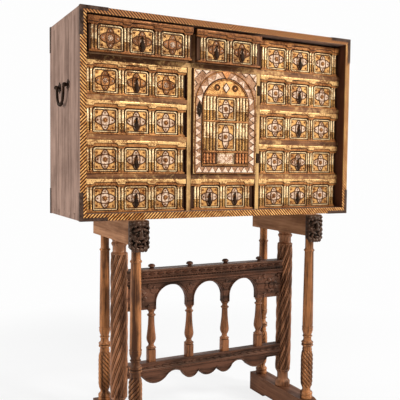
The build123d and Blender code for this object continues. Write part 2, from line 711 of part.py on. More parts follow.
# ------------------------------------------------------------------ side handles
def handle_mount(side, y):
    """Cusped iron rose with a bored post that carries one end of the bail."""
    points = []
    for i in range(2 * ROSE_LOBES):
        radius = ROSE_WAIST if i % 2 else ROSE_RADIUS
        angle = math.pi * i / ROSE_LOBES
        points.append((y + radius * math.cos(angle), HANDLE_Z + radius * math.sin(angle)))
    with BuildPart() as mount:
        with BuildSketch(Plane.YZ.offset(side * HALF_WIDTH)):
            Polygon(*points, align=None)
        extrude(amount=side * ROSE_THICK)
        with BuildSketch(Plane.YZ.offset(side * HALF_WIDTH)):
            with Locations((y, HANDLE_Z)):
                RegularPolygon(POST_RADIUS, 8)
        extrude(amount=side * (HANDLE_STAND + POST_RADIUS))
        with BuildSketch(face_plane(y + POST_RADIUS)):
            with Locations((side * HANDLE_X, HANDLE_Z)):
                Circle(BAIL_PIN + BAIL_PIN_CLEARANCE)
        extrude(amount=2 * POST_RADIUS, mode=Mode.SUBTRACT)
    return mount.part


def bail(side):
    """Drop handle: an eight-sided bar forged to a U, swelling at the grip, with a pin at each end."""
    x = side * HANDLE_X
    limb = HANDLE_SPAN / 2 - POST_RADIUS - BAIL_GAP - BAIL_WIRE
    low = HANDLE_Z - BAIL_DROP
    half_route = [(limb, HANDLE_Z + BAIL_PIN)]
    for i in range(BAIL_BENDS + 1):
        angle = math.pi / 2 * i / BAIL_BENDS
        out = limb - BAIL_CORNER * (1 - math.cos(angle))
        half_route.append((out, low + BAIL_CORNER * (1 - math.sin(angle))))
    route = [(HANDLE_Y - out, z) for out, z in half_route]
    route += [(HANDLE_Y + out, z) for out, z in reversed(half_route)]
    with BuildPart() as handle:
        with BuildLine(Plane.YZ.offset(x)):
            Polyline(*route)
        with BuildSketch(Plane((x, route[0][0], route[0][1]), z_dir=(0, 0, -1))):
            RegularPolygon(BAIL_WIRE, 8)
        sweep(transition=Transition.RIGHT)
        for s in (-1, 1):
            with BuildSketch(face_plane(HANDLE_Y + s * limb)):
                with Locations((x, HANDLE_Z)):
                    Circle(BAIL_PIN)
            extrude(amount=-s * (HANDLE_SPAN / 2 - limb + POST_RADIUS + BAIL_PIN))
            with BuildSketch(Plane((x, HANDLE_Y, low), x_dir=(1, 0, 0), z_dir=(0, s, 0))):
                RegularPolygon(BAIL_SWELL, 8)
            fall = math.degrees(math.atan2(BAIL_SWELL - BAIL_SWELL_END, BAIL_SWELL_LENGTH / 2))
            extrude(amount=BAIL_SWELL_LENGTH / 2, taper=fall)
    return handle.part


handle_mounts = []
for hand, side in (("left", -1), ("right", 1)):
    handle_mounts += [handle_mount(side, HANDLE_Y + s * HANDLE_SPAN / 2) for s in (-1, 1)]
    write(f"{hand}_bail", [bail(side)])
write("handle_mounts", handle_mounts)


# ------------------------------------------------------------------ stand: runners
def runner(x):
    """Floor sleigh of a trestle, with a rounded nose and a pad left at each end of the underside."""
    front, back = CASE_FRONT + RUNNER_FRONT, CASE_FRONT + RUNNER_BACK
    with BuildPart() as foot:
        with BuildSketch(Plane.YZ.offset(x - RUNNER_WIDTH / 2)):
            with BuildLine():
                nose_top = (front + RUNNER_NOSE, RUNNER_HEIGHT)
                nose_low = (front, RUNNER_HEIGHT - RUNNER_NOSE)
                Line((front, 0), nose_low)
                RadiusArc(nose_low, nose_top, RUNNER_NOSE)
                Line(nose_top, (back, RUNNER_HEIGHT))
                Line((back, RUNNER_HEIGHT), (back, 0))
                Line((back, 0), (back - RUNNER_PAD, 0))
                Line((back - RUNNER_PAD, 0), (back - RUNNER_PAD - RUNNER_LIFT, RUNNER_LIFT))
                lifted = front + RUNNER_PAD + RUNNER_LIFT
                Line((back - RUNNER_PAD - RUNNER_LIFT, RUNNER_LIFT), (lifted, RUNNER_LIFT))
                Line((lifted, RUNNER_LIFT), (front + RUNNER_PAD, 0))
                Line((front + RUNNER_PAD, 0), (front, 0))
            make_face()
        extrude(amount=RUNNER_WIDTH)
    return foot.part


# ------------------------------------------------------------------ stand: turned and spiral columns
def turned_column(x, y):
    """Slim front or rear column: spiral vase below, tapering shaft above, between turned rings."""
    return turned(x, y, RUNNER_HEIGHT, COLUMN_FOOT_TURNING, BOX_FLOOR, COLUMN_HEAD_TURNING)


def spiral_column(x):
    """Thick column of the bridge: a shaft of twisted flutes between a turned foot and a turned cap."""
    shaft_low = RUNNER_HEIGHT + SPIRAL_FOOT_TURNING[-1][1]
    shaft_high = BOX_FLOOR - SPIRAL_HEAD_TURNING[0][1]
    step = 2 * math.pi / SPIRAL_FLUTES
    stations = ((-SPIRAL_RIDGE, SPIRAL_RADIUS), (SPIRAL_RIDGE, SPIRAL_RADIUS), (0.5, SPIRAL_ROOT))
    points = []
    for i in range(SPIRAL_FLUTES):
        for turn, radius in stations:
            angle = (i + turn) * step
            points.append((x + radius * math.cos(angle), SPIRAL_Y + radius * math.sin(angle)))
    with BuildSketch(Plane.XY.offset(shaft_low)) as section:
        Polygon(*points, align=None)
    with BuildPart() as column:
        add(
            Solid.extrude_linear_with_rotation(
                section.sketch.faces()[0],
                (x, SPIRAL_Y, shaft_low),
                (0, 0, shaft_high - shaft_low),
                360 * SPIRAL_TURNS,
            )
        )
        add(turned(x, SPIRAL_Y, RUNNER_HEIGHT, SPIRAL_FOOT_TURNING))
        add(turned(x, SPIRAL_Y, 0, (), BOX_FLOOR, SPIRAL_HEAD_TURNING))
    return column.part


# ------------------------------------------------------------------ stand: loper boxes and lopers
def loper_box(x):
    """Top beam of a trestle, bored lengthwise from the front for the sliding loper."""
    front, back = CASE_FRONT + BOX_FRONT, CASE_FRONT + BOX_BACK
    with BuildPart() as beam:
        with BuildSketch(Plane.YZ.offset(x - BOX_WIDTH / 2)):
            with Locations(((front + back) / 2, BOX_FLOOR + BOX_HEIGHT / 2)):
                Rectangle(back - front, BOX_HEIGHT)
        extrude(amount=BOX_WIDTH)
        with BuildSketch(face_plane(front)):
            with Locations((x, BOX_FLOOR + BOX_HEIGHT / 2)):
                Rectangle(BOX_WIDTH - 2 * BOX_WALL, BOX_HEIGHT - 2 * BOX_WALL)
        extrude(amount=-(back - front - BOX_STOP), mode=Mode.SUBTRACT)
    return beam.part


def loper(x):
    """Sliding bar that carries the writing flap, ending in a carved grotesque head."""
    box_front, box_back = CASE_FRONT + BOX_FRONT, CASE_FRONT + BOX_BACK
    root = box_front - LOPER_GAP
    face = CASE_FRONT - HEAD_FACE
    nose = CASE_FRONT - HEAD_REACH
    block = root - (root - face) * HEAD_BLOCK
    top, chin = STAND_HEIGHT - LOPER_GAP, STAND_HEIGHT - HEAD_HEIGHT
    brow, lip = top - BROW_DROP, top - LIP_DROP
    half = HEAD_WIDTH / 2
    bar_x = BOX_WIDTH / 2 - BOX_WALL - LOPER_GAP
    bar_z = BOX_HEIGHT / 2 - BOX_WALL - LOPER_GAP
    middle_z = BOX_FLOOR + BOX_HEIGHT / 2
    edge = (
        (1.0, top),
        (1.0, middle_z - bar_z),
        (HEAD_JOWL_SHARE, chin + HEAD_CHIN),
        (HEAD_CHIN_SHARE, chin),
    )
    shield = [(-u, z) for u, z in edge] + [(u, z) for u, z in reversed(edge)]
    centre = (top + chin) / 2
    mask = [(FACE_WIDTH_SHARE * u, centre + FACE_HEIGHT_SHARE * (z - centre)) for u, z in shield]
    nose_root = (
        (-NOSE_BRIDGE_SHARE, brow),
        (NOSE_BRIDGE_SHARE, brow),
        (NOSE_WING_SHARE, lip),
        (-NOSE_WING_SHARE, lip),
    )
    nose_centre = (brow + lip) / 2
    nose_tip = [(NOSE_TAPER * u, nose_centre + NOSE_TAPER * (z - nose_centre)) for u, z in nose_root]
    column_face = CASE_FRONT + FRONT_COLUMN - COLUMN_NECK - NECK_GAP

    def outline(shape, share=1.0):
        Polygon(*[(x + share * half * u, z) for u, z in shape], align=None)

    with BuildPart() as slide:
        add(
            slab(
                (x - bar_x, root, middle_z - bar_z),
                (x + bar_x, box_back - BOX_STOP - LOPER_TAIL, middle_z + bar_z),
            )
        )
        with BuildSketch(face_plane(root)):
            outline(shield)
        extrude(amount=root - block)
        with BuildSketch(face_plane(block)):
            outline(shield, HEAD_NECK_SHARE)
        with BuildSketch(face_plane(face)):
            outline(mask)
        loft(ruled=True)
        with BuildSketch(face_plane(face)):
            outline(nose_root)
        with BuildSketch(face_plane(nose)):
            outline(nose_tip)
        loft(ruled=True)
        for s in (-1, 1):
            with BuildSketch(face_plane(face)):
                with Locations((x + s * NOSE_WING_SHARE * half, brow + BROW_THICK / 2)):
                    Rectangle(BROW_LENGTH, BROW_THICK, rotation=-s * BROW_TILT)
            extrude(amount=BROW_REACH)
        if column_face < root:
            with BuildSketch(Plane.XY.offset(BOX_FLOOR + LOPER_GAP)):
                with Locations((x, (column_face + root) / 2)):
                    Rectangle(2 * HEAD_WIDTH, root - column_face)
            extrude(amount=-HEAD_HEIGHT, mode=Mode.SUBTRACT)
    return slide.part


turned_columns = []
spiral_columns = []
for hand, side in (("left", -1), ("right", 1)):
    x = side * TRESTLE_X
    write(f"{hand}_runner", [runner(x)])
    turned_columns += [turned_column(x, CASE_FRONT + y) for y in (FRONT_COLUMN, REAR_COLUMN)]
    spiral_columns.append(spiral_column(x))
    write(f"{hand}_loper_box", [loper_box(x)])
    write(f"{hand}_loper", [loper(x)])
write("turned_columns", turned_columns)
write("spiral_columns", spiral_columns)


# ------------------------------------------------------------------ bridge between the thick columns
def scribe():
    """Cut both ends of a rail hollow, so that they close on the round columns."""
    for s in (-1, 1):
        with Locations((s * TRESTLE_X, SPIRAL_Y, STAND_HEIGHT / 2)):
            Cylinder(SPIRAL_RADIUS + SCRIBE_GAP, STAND_HEIGHT, mode=Mode.SUBTRACT)


RAIL_END = TRESTLE_X - math.sqrt(SPIRAL_RADIUS**2 - (RAIL_THICK / 2) ** 2) + SCRIBE

with BuildPart() as top_rail:
    with BuildSketch(face_plane(SPIRAL_Y + RAIL_THICK / 2)):
        with Locations((0, RAIL_TOP - RAIL_HEIGHT / 2)):
            Rectangle(2 * RAIL_END, RAIL_HEIGHT)
    extrude(amount=RAIL_THICK)
    for edge in (SPIRAL_Y - RAIL_THICK / 2, SPIRAL_Y + RAIL_THICK / 2):
        with Locations((0, edge, RAIL_TOP - RAIL_NOTCH_DROP)):
            Box(2 * RAIL_END, RAIL_NOTCH, RAIL_NOTCH_HEIGHT, mode=Mode.SUBTRACT)
    scribe()
write("bridge_top_rail", [top_rail.part])

with BuildPart() as arcade:
    with BuildSketch(face_plane(SPIRAL_Y + ARCADE_THICK / 2)):
        with Locations((0, (ARCADE_TOP + ARCADE_FOOT) / 2)):
            Rectangle(2 * RAIL_END, ARCADE_HEIGHT)
        with Locations(*[(i * ARCH_PITCH, SPRINGING) for i in (-1, 0, 1)]):
            Circle(ARCH_RADIUS, mode=Mode.SUBTRACT)
        with Locations(*[(i * ARCH_PITCH, (SPRINGING + ARCADE_FOOT) / 2) for i in (-1, 0, 1)]):
            Rectangle(2 * ARCH_RADIUS, SPRINGING - ARCADE_FOOT, mode=Mode.SUBTRACT)
    extrude(amount=ARCADE_THICK)
    rosette_x = (1.5 * ARCH_PITCH + BALUSTER_PLINTH / 2 + TRESTLE_X - SPIRAL_RADIUS) / 2
    with BuildSketch(face_plane(SPIRAL_Y - ARCADE_THICK / 2)):
        with Locations(*[(s * rosette_x, (ARCADE_TOP + ARCADE_FOOT) / 2) for s in (-1, 1)]):
            RegularPolygon(ROSETTE_RADIUS, ROSETTE_SIDES)
    extrude(amount=ROSETTE_RISE, taper=ROSETTE_TAPER)
    scribe()
write("bridge_arcade", [arcade.part])

with BuildPart() as lower_rail:
    with BuildSketch(face_plane(SPIRAL_Y + LOWER_RAIL_THICK / 2)):
        with Locations((0, LOWER_RAIL_LEVEL - LOWER_RAIL_HEIGHT / 2)):
            Rectangle(2 * RAIL_END, LOWER_RAIL_HEIGHT)
    extrude(amount=LOWER_RAIL_THICK)
    crest = APRON_TOP - APRON_CREST * APRON_DEPTH
    fall = APRON_TOP - APRON_FALL * APRON_DEPTH
    cusp = APRON_TOP - APRON_CUSP * APRON_DEPTH
    low = APRON_TOP - APRON_DEPTH
    inner, lobe, outer, peak, rise, wide, end = [ARCH_PITCH * s for s in APRON_STATIONS]
    with BuildSketch(face_plane(SPIRAL_Y + APRON_THICK / 2)):
        with BuildLine():
            ThreePointArc((-inner, cusp), (0, low), (inner, cusp))
            for s in (-1, 1):
                ThreePointArc((s * inner, cusp), (s * lobe, low), (s * outer, cusp))
                ThreePointArc((s * outer, cusp), (s * peak, crest), (s * rise, cusp))
                ThreePointArc((s * rise, cusp), (s * wide, low), (s * end, fall))
                Line((s * end, fall), (s * RAIL_END, fall))
                Line((s * RAIL_END, fall), (s * RAIL_END, APRON_TOP))
            Line((-RAIL_END, APRON_TOP), (RAIL_END, APRON_TOP))
        make_face()
    extrude(amount=APRON_THICK)
    scribe()
write("bridge_lower_rail", [lower_rail.part])


def baluster(x):
    """Turned baluster on a square plinth, between the lower rail and a leg of the arcade."""
    shaft = LOWER_RAIL_LEVEL + BALUSTER_PLINTH_HEIGHT
    with BuildPart() as post:
        with BuildSketch(Plane.XY.offset(LOWER_RAIL_LEVEL)):
            with Locations((x, SPIRAL_Y)):
                Rectangle(BALUSTER_PLINTH, BALUSTER_PLINTH)
        extrude(amount=BALUSTER_PLINTH_HEIGHT)
        add(
            turned(
                x, SPIRAL_Y, shaft, BALUSTER_FOOT_TURNING, ARCADE_FOOT, BALUSTER_HEAD_TURNING
            )
        )
    return post.part


write("bridge_balusters", [baluster(x) for x in POST_PLACES])
write("bridge_finials", [turned(x, SPIRAL_Y, RAIL_TOP, FINIAL_TURNING) for x in POST_PLACES])
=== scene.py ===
import math

import bmesh
import bpy
from mathutils import Matrix, Vector


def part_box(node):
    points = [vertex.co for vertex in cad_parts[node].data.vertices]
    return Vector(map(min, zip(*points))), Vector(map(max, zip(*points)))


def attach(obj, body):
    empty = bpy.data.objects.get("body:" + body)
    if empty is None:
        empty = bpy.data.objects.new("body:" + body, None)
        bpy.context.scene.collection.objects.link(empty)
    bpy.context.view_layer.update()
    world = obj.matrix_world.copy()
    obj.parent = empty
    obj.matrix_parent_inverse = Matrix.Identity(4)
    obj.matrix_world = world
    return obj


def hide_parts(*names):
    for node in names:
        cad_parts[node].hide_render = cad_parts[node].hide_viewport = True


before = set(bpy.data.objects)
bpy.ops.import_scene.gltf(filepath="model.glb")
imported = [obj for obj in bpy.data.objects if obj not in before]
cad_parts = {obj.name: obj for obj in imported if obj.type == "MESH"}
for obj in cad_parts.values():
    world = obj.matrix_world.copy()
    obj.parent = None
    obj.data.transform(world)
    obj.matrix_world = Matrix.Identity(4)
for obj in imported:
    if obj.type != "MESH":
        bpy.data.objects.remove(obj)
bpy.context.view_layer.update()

# ---------------------------------------------------------------- camera
# It stands left of the chest, level with its lower half, looks a little downwards and cuts the feet
# off.
CAMERA_PLACE = (-1.08154, -2.03154, 0.95436)
CAMERA_YAW, CAMERA_TILT, CAMERA_ROLL = -0.4780, -0.0564, -0.0111
CAMERA_LENS = 55.66

camera = bpy.data.objects.new("camera", bpy.data.cameras.new("camera"))
bpy.context.scene.collection.objects.link(camera)
camera.data.lens = CAMERA_LENS
camera.matrix_world = (
    Matrix.Translation(CAMERA_PLACE)
    @ Matrix.Rotation(CAMERA_YAW, 4, "Z")
    @ Matrix.Rotation(CAMERA_TILT, 4, "X")
    @ Matrix.Rotation(CAMERA_ROLL, 4, "Y")
    @ Matrix.Rotation(math.radians(90), 4, "X")
)
bpy.context.scene.camera = camera


# ---------------------------------------------------------------- chest boards
# Walnut boards dovetailed at the corners, dull grey-brown outside and redder within. They are the
# solid model's own boards, with the grain upright in the sides and level in the others.
class Wire:
    """A socket of a node tree. Arithmetic on it adds Math nodes."""

    def __init__(self, net, socket):
        self.net = net
        self.socket = socket

    def maths(self, operation, *values):
        return self.net.node("ShaderNodeMath", {"operation": operation}, dict(enumerate(values)))

    def __add__(self, other):
        return self.maths("ADD", self, other)

    def __sub__(self, other):
        return self.maths("SUBTRACT", self, other)

    def __rsub__(self, other):
        return self.maths("SUBTRACT", other, self)

    def __mul__(self, other):
        return self.maths("MULTIPLY", self, other)

    def __truediv__(self, other):
        return self.maths("DIVIDE", self, other)

    def __pow__(self, other):
        return self.maths("POWER", self, other)

    def __mod__(self, other):
        return self.maths("FLOORED_MODULO", self, other)

    def __abs__(self):
        return self.maths("ABSOLUTE", self)

    __radd__ = __add__
    __rmul__ = __mul__

    def sine(self):
        return self.maths("SINE", self)

    def at_least(self, other):
        return self.maths("MAXIMUM", self, other)

    def rise(self, low, high):
        """0 below low and 1 above high, smooth between."""
        limits = {"Value": self, "From Min": low, "From Max": high}
        return self.net.node("ShaderNodeMapRange", {"interpolation_type": "SMOOTHSTEP"}, limits)


class Net:
    """A node tree of a material or of a shape."""

    def __init__(self, tree):
        self.tree = tree

    def node(self, kind, settings=(), values=(), out=0):
        made = self.tree.nodes.new(kind)
        for key, value in dict(settings).items():
            setattr(made, key, value)
        for key, value in dict(values).items():
            if isinstance(value, Wire):
                self.tree.links.new(value.socket, made.inputs[key])
            else:
                made.inputs[key].default_value = value
        return Wire(self, made.outputs[out])

    def feed(self, node, key, wire):
        self.tree.links.new(wire.socket, node.inputs[key])

    def place(self):
        return self.node("ShaderNodeTexCoord", out="Object")

    def split(self, vector):
        """The X, Y and Z of a vector."""
        made = self.node("ShaderNodeSeparateXYZ", values={0: vector}).socket.node
        return [Wire(self, made.outputs[i]) for i in range(3)]

    def noise(self, vector, scale, detail=4.0, roughness=0.55):
        sizes = {"Vector": vector, "Scale": scale, "Detail": detail, "Roughness": roughness}
        return self.node("ShaderNodeTexNoise", values=sizes)

    def blend(self, factor, first, second):
        values = {0: factor, 6: first, 7: second}
        return self.node("ShaderNodeMix", {"data_type": "RGBA"}, values, out=2)

    def crevice(self, reach):
        """0 deep in a corner of the piece itself and 1 on its open faces."""
        settings = {"only_local": True, "samples": 8}
        return self.node("ShaderNodeAmbientOcclusion", settings, {"Distance": reach}, out="AO")


def paint(name, **fixed):
    """A new material: its tree and its surface shader, with the sockets that are the same all over."""
    material = bpy.data.materials.new(name)
    material.use_nodes = True
    shader = material.node_tree.nodes["Principled BSDF"]
    for key, value in fixed.items():
        shader.inputs[key.replace("_", " ")].default_value = value
    return material, Net(material.node_tree), shader


def shade(colour, factor):
    return tuple(channel * factor for channel in colour[:3]) + (1.0,)


def skin(net, shader, colour, roughness, height, depth):
    """Wire the colour, the roughness and a bump of that depth into a surface shader."""
    net.feed(shader, "Base Color", colour)
    net.feed(shader, "Roughness", roughness)
    bump = {"Height": height, "Distance": depth, "Strength": 1.0}
    net.feed(shader, "Normal", net.node("ShaderNodeBump", values=bump))


WARM = (1.0, 0.76, 0.54, 1)  # tint of every highlight, so that dark wood and iron don't turn grey
ACROSS_GRAIN, ALONG_GRAIN = 20.0, 1.2


def wood(name, dark, light, along, corner_shade=0.45, reach=0.012, gloss=0.5, worn=None, figure=1.0):
    """Old wood with its grain along axis 0, 1 or 2, with painted shade in its corners, and worn on its
    faces.
    """
    material, net, shader = paint(name, Specular_IOR_Level=0.25, Specular_Tint=WARM)
    place = net.place()
    stretch = [ACROSS_GRAIN] * 3
    stretch[along] = ALONG_GRAIN
    fibres = net.node("ShaderNodeMapping", values={"Vector": place, "Scale": stretch})
    grain = net.noise(fibres, 7.0, 8.0, 0.62)
    streak = net.noise(fibres, 1.6, 3.0, 0.5)
    patch = net.noise(place, 9.0, 4.0, 0.6)
    spread = 0.28 / figure
    tone = (grain * 0.7 + streak * 0.8 + patch * 0.5).rise(1.0 - spread, 1.0 + spread)
    colour = net.blend(tone, dark, light)
    if worn:
        bare, share = worn
        rubbed = (patch * 0.5 + net.noise(place, 70.0, 5.0, 0.7) * 0.6).rise(0.53, 0.72)
        colour = net.blend(rubbed * share, colour, bare)
    # Painted shade: the colour darkens in the piece's own corners and hollows.
    open_face = net.crevice(reach).rise(0.25, 0.85)
    colour = net.blend(open_face, shade(dark, corner_shade), colour)
    skin(net, shader, colour, 1.0 - gloss * (0.6 + 0.5 * tone), grain, 0.0004)
    return material


OUTSIDE = (0.095, 0.052, 0.038, 1), (0.30, 0.188, 0.142, 1)
INSIDE = (0.04, 0.012, 0.006, 1), (0.13, 0.045, 0.024, 1)
side_board = wood("walnut outside, upright grain", *OUTSIDE, 2, gloss=0.35)
top_board = wood("walnut outside, level grain", *OUTSIDE, 0, gloss=0.35)
inner_board = wood("walnut inside", *INSIDE, 2, gloss=0.3)


def dress(node, *finishes):
    """Give one of the solid model's own nodes its finish."""
    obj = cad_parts[node]
    obj.data.materials.clear()
    for finish in finishes:
        obj.data.materials.append(finish)
    return obj


for node in ("case_left_side", "case_right_side"):
    side = dress(node, side_board, inner_board)
    low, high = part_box(node)
    middle = (low[0] + high[0]) / 2
    for face in side.data.polygons:
        face.material_index = int(face.normal.x * middle < -0.5 * abs(middle))
for node in ("case_top", "case_bottom", "case_back"):
    dress(node, top_board)

# ---------------------------------------------------------------- rope inlay
# Bands of slanting light and dark wood let into the chest's front edges, mirrored at the middle of
# every side. Along the top of the upper band the light stripes are darkened: painted shade.
ROPE_PITCH = 0.0111
ROPE_LIGHT = (0.45, 0.165, 0.038, 1), (0.90, 0.48, 0.16, 1)
ROPE_DARK = (0.03, 0.007, 0.001, 1), (0.075, 0.02, 0.004, 1)
ROPE_TOP_SHADE = (0.44, 0.17, 0.05, 1)

case_low, case_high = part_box("edge_banding")
rope, net, shader = paint("rope inlay", Specular_IOR_Level=0.15, Specular_Tint=WARM)
place = net.place()
x, y, z = net.split(place)
run = abs(x) - abs(z - (case_low[2] + case_high[2]) / 2)
turn = (run + net.noise(place, 30.0) * 0.002) / ROPE_PITCH
stripe = (abs(turn % 1.0 - 0.5) * 2.0).rise(0.52, 0.62)
tint = net.noise(place, 55.0, 5.0, 0.7)
light = net.blend(tint.rise(0.35, 0.65), *ROPE_LIGHT)
dark = net.blend(tint.rise(0.3, 0.7), *ROPE_DARK)
# Painted shade: the light stripes darken along the top of the upper band.
light = net.blend(z.rise(case_high[2] - 0.022, case_high[2] - 0.014), light, ROPE_TOP_SHADE)
skin(net, shader, net.blend(stripe, dark, light), 0.35 + 0.2 * tint, stripe, 0.0008)
dress("edge_banding", rope)


# ---------------------------------------------------------------- corner irons
# Thin iron angles over the eight corners of the chest, nailed flat on its boards. They are the solid
# model's own, in iron that handling has worn brown.
RUST = (0.11, 0.045, 0.022, 1)


def iron(name, dark, light, gloss):
    material, net, shader = paint(name, Metallic=0.1, Specular_IOR_Level=0.12, Specular_Tint=WARM)
    place = net.place()
    scale = net.noise(place, 60.0, 6.0, 0.65)
    rust = net.noise(place, 14.0, 4.0, 0.6)
    colour = net.blend(scale.rise(0.35, 0.68), dark, light)
    colour = net.blend(rust.rise(0.55, 0.75) * 0.5, colour, RUST)
    skin(net, shader, colour, 1.0 - gloss * (0.5 + scale), scale, 0.0005)
    return material


worn_iron = iron("worn iron", (0.02, 0.01, 0.007, 1), (0.075, 0.042, 0.03, 1), 0.4)
black_iron = iron("black iron", (0.008, 0.004, 0.002, 1), (0.035, 0.018, 0.011, 1), 0.3)
dress("corner_irons", worn_iron)

# ---------------------------------------------------------------- shelves and dividers
# Thin walnut boards let into the case and into one another, the solid model's own. Their front edges
# are lighter and still carry worn gilding.
EDGE_DARK, EDGE_LIGHT = (0.05, 0.016, 0.006, 1), (0.26, 0.10, 0.036, 1)
GOLD_RUBBED = (0.70, 0.42, 0.16, 1)
shelf_edge = wood("shelf edge", EDGE_DARK, EDGE_LIGHT, 0, gloss=0.6, worn=(GOLD_RUBBED, 0.7), figure=1.5)
divider_colours = shade(EDGE_LIGHT, 0.6), shade(GOLD_RUBBED, 0.8)
divider_edge = wood(
    "divider edge", *divider_colours, 2, gloss=0.4, worn=(GOLD_RUBBED, 0.8), figure=1.7
)
inner_level = wood("walnut inside, level", *INSIDE, 0, gloss=0.3)

for edge, nodes in (
    (shelf_edge, ("upper_shelf", "row_shelves")),
    (divider_edge, ("left_divider", "right_divider", "top_dividers")),
):
    for node in nodes:
        board = dress(node, inner_level, edge)
        for face in board.data.polygons:
            face.material_index = int(face.normal.y < -0.5)

# ---------------------------------------------------------------- drawer fronts
# Open walnut boxes that slide on the shelves, their fronts carved and gilt: framed panels with a
# rosette in two crossed ovals, pairs of half columns, plain above and twisted below, and a cornice
# arched over every panel. Sizes from here on are in millimetres.
FRONT_THICK = 14.0
FRONT_HIDDEN = 4.0  # the cornice runs this far past the front's sides
REACH = 10.0  # of the cornice before the ground
BAND = 25.0  # between two panels, for a pair of half columns
PAIR = 11.0  # between the half columns of a pair
CAPITAL = 24.0  # from the foot of the cornice to the top of the front
FRAME_FOOT, FRAME_TOP = 7.0, 85.0
FRAME_INSET, LINE_INSET, OVAL_INSET = 2.6, 6.4, 8.0  # from a panel's edge
TALL_WAIST, WIDE_WAIST = 14.0, 16.0  # half the short sides of the crossed ovals
FOOT_RADIUS = 0.5  # of a panel's lower corners
LET_IN = 0.5  # how deep relief is let into its ground
STRIP_SINK = 0.6  # how deep a moulding is let in
WALL, FLOOR, BOX_LOWER = 8.0, 6.0, 12.0  # boards of the drawer's box, and its top below the front's
STAND_OFF, EYE_HEIGHT = 8.5, 57.0  # of a staple's eye
SIDE_END, CENTRE_END = 19.5, 26.0  # beside the outermost bays
BROWN_FILLED = ("drawer_left_5", "drawer_left_4", "drawer_centre_top")
BROWN_TOPPED = ("drawer_left_5", "drawer_centre_top", "drawer_right_5")
# Two top-row drawers take darker copies of their gilding: painted shade under the chest's top.
SHADED_TOP_ROW = ("drawer_left_5", "drawer_centre_top")

GOLD = (0.70, 0.375, 0.125, 1)
PALE_GOLD = (0.98, 0.73, 0.40, 1)
BOLE = (0.23, 0.068, 0.012, 1)
# colour of the painted shade in the hollows of gilding and bone
HOLLOW_SHADE = (0.03, 0.007, 0.001, 1)


def gilding(name, gold, bole, metal):
    """Worn leaf over red bole, or worn bone, with painted shade in every hollow."""
    material, net, shader = paint(name, Specular_IOR_Level=0.2, Specular_Tint=WARM)
    place = net.place()
    patch = net.noise(place, 38.0, 5.0, 0.65)
    speck = net.noise(place, 240.0, 3.0, 0.6)
    kept = (patch * 0.6 + speck * 0.6).rise(0.5, 0.68)
    colour = net.blend(kept, bole, gold)
    lit = net.noise(place, 12.0, 2.0, 0.5).rise(0.4, 0.7)
    colour = net.blend(lit * 0.35, colour, shade(gold, 1.25))
    # Painted shade: the piece's own hollows turn nearly black and lose their metal.
    open_face = net.crevice(0.005).rise(0.45, 0.95)
    colour = net.blend(open_face, HOLLOW_SHADE, colour)
    net.feed(shader, "Metallic", kept * open_face * metal)
    skin(net, shader, colour, 0.62 - 0.3 * kept, speck + patch, 0.0003)
    return material


gilt_ground = gilding("gilt ground", GOLD, BOLE, 0.35)
gilt_bright = gilding("gilt columns and frames", PALE_GOLD, (0.34, 0.14, 0.04, 1), 0.35)
gilt_twisted = gilding("gilt twists", (0.50, 0.26, 0.075, 1), (0.09, 0.026, 0.008, 1), 0.35)
gilt_brown = gilding("gilt mouldings", (0.43, 0.18, 0.055, 1), (0.13, 0.034, 0.007, 1), 0.2)
gilt_cornice = gilding("gilt cornices", (0.80, 0.48, 0.19, 1), (0.20, 0.065, 0.018, 1), 0.3)
bone = gilding("bone", (0.80, 0.58, 0.41, 1), (0.28, 0.12, 0.05, 1), 0.0)
oval_brown = gilding("brown ovals", (0.13, 0.045, 0.014, 1), (0.035, 0.011, 0.004, 1), 0.15)
# Darker copies of the gilding for those drawers: painted shade.
shaded_leaf = {
    fresh.name: gilding("shaded " + fresh.name, gold, bole, metal)
    for fresh, gold, bole, metal in (
        (gilt_ground, shade(GOLD, 0.62), shade(BOLE, 0.6), 0.3),
        (gilt_bright, shade(PALE_GOLD, 0.66), (0.2, 0.07, 0.018, 1), 0.3),
        (gilt_brown, (0.25, 0.09, 0.026, 1), (0.07, 0.018, 0.004, 1), 0.15),
        (gilt_twisted, (0.3, 0.14, 0.04, 1), (0.06, 0.018, 0.005, 1), 0.3),
    )
}
# Dark lines of the fronts and the door; under each drawer's upper cornice one is a painted shadow.
dark_lines_and_shadow = wood("dark moulding", (0.015, 0.005, 0.003, 1), (0.05, 0.018, 0.008, 1), 0)
# Near-black ground that shows only in the gaps between the relief: painted shade.
shadow_ground = wood("dark ground", (0.018, 0.006, 0.003, 1), (0.07, 0.024, 0.009, 1), 2, gloss=0.4)
drawer_wood = wood("drawer sides", (0.16, 0.085, 0.045, 1), (0.33, 0.2, 0.11, 1), 1, gloss=0.25)


def shape(name, finish, *steps, turn=None):
    """A mesh with one finish. Each step is a function with the values that it gets after the mesh."""
    work = bmesh.new()
    for build, *values in steps:
        build(work, *values)
    if turn:
        bmesh.ops.transform(work, matrix=turn, verts=work.verts)
    mesh = bpy.data.meshes.new(name)
    work.to_mesh(mesh)
    work.free()
    mesh.materials.append(finish)
    return mesh


def shell(work, rings, closed_run=False):
    """Faces between successive rings of points, with both ends filled unless the run is closed."""
    made = [[work.verts.new(point) for point in ring] for ring in rings]
    pairs = list(zip(made, made[1:]))
    if closed_run:
        pairs.append((made[-1], made[0]))
    faces = []
    for first, second in pairs:
        for i in range(len(first)):
            j = (i + 1) % len(first)
            faces.append(work.faces.new((first[i], first[j], second[j], second[i])))
    if not closed_run:
        faces += [work.faces.new(made[0]), work.faces.new(made[-1])]
    bmesh.ops.recalc_face_normals(work, faces=faces)


def eased(work, edges, ease):
    """Round those edges over."""
    if ease:
        bmesh.ops.bevel(work, geom=edges, offset=ease, segments=2, affect="EDGES", profile=0.5)


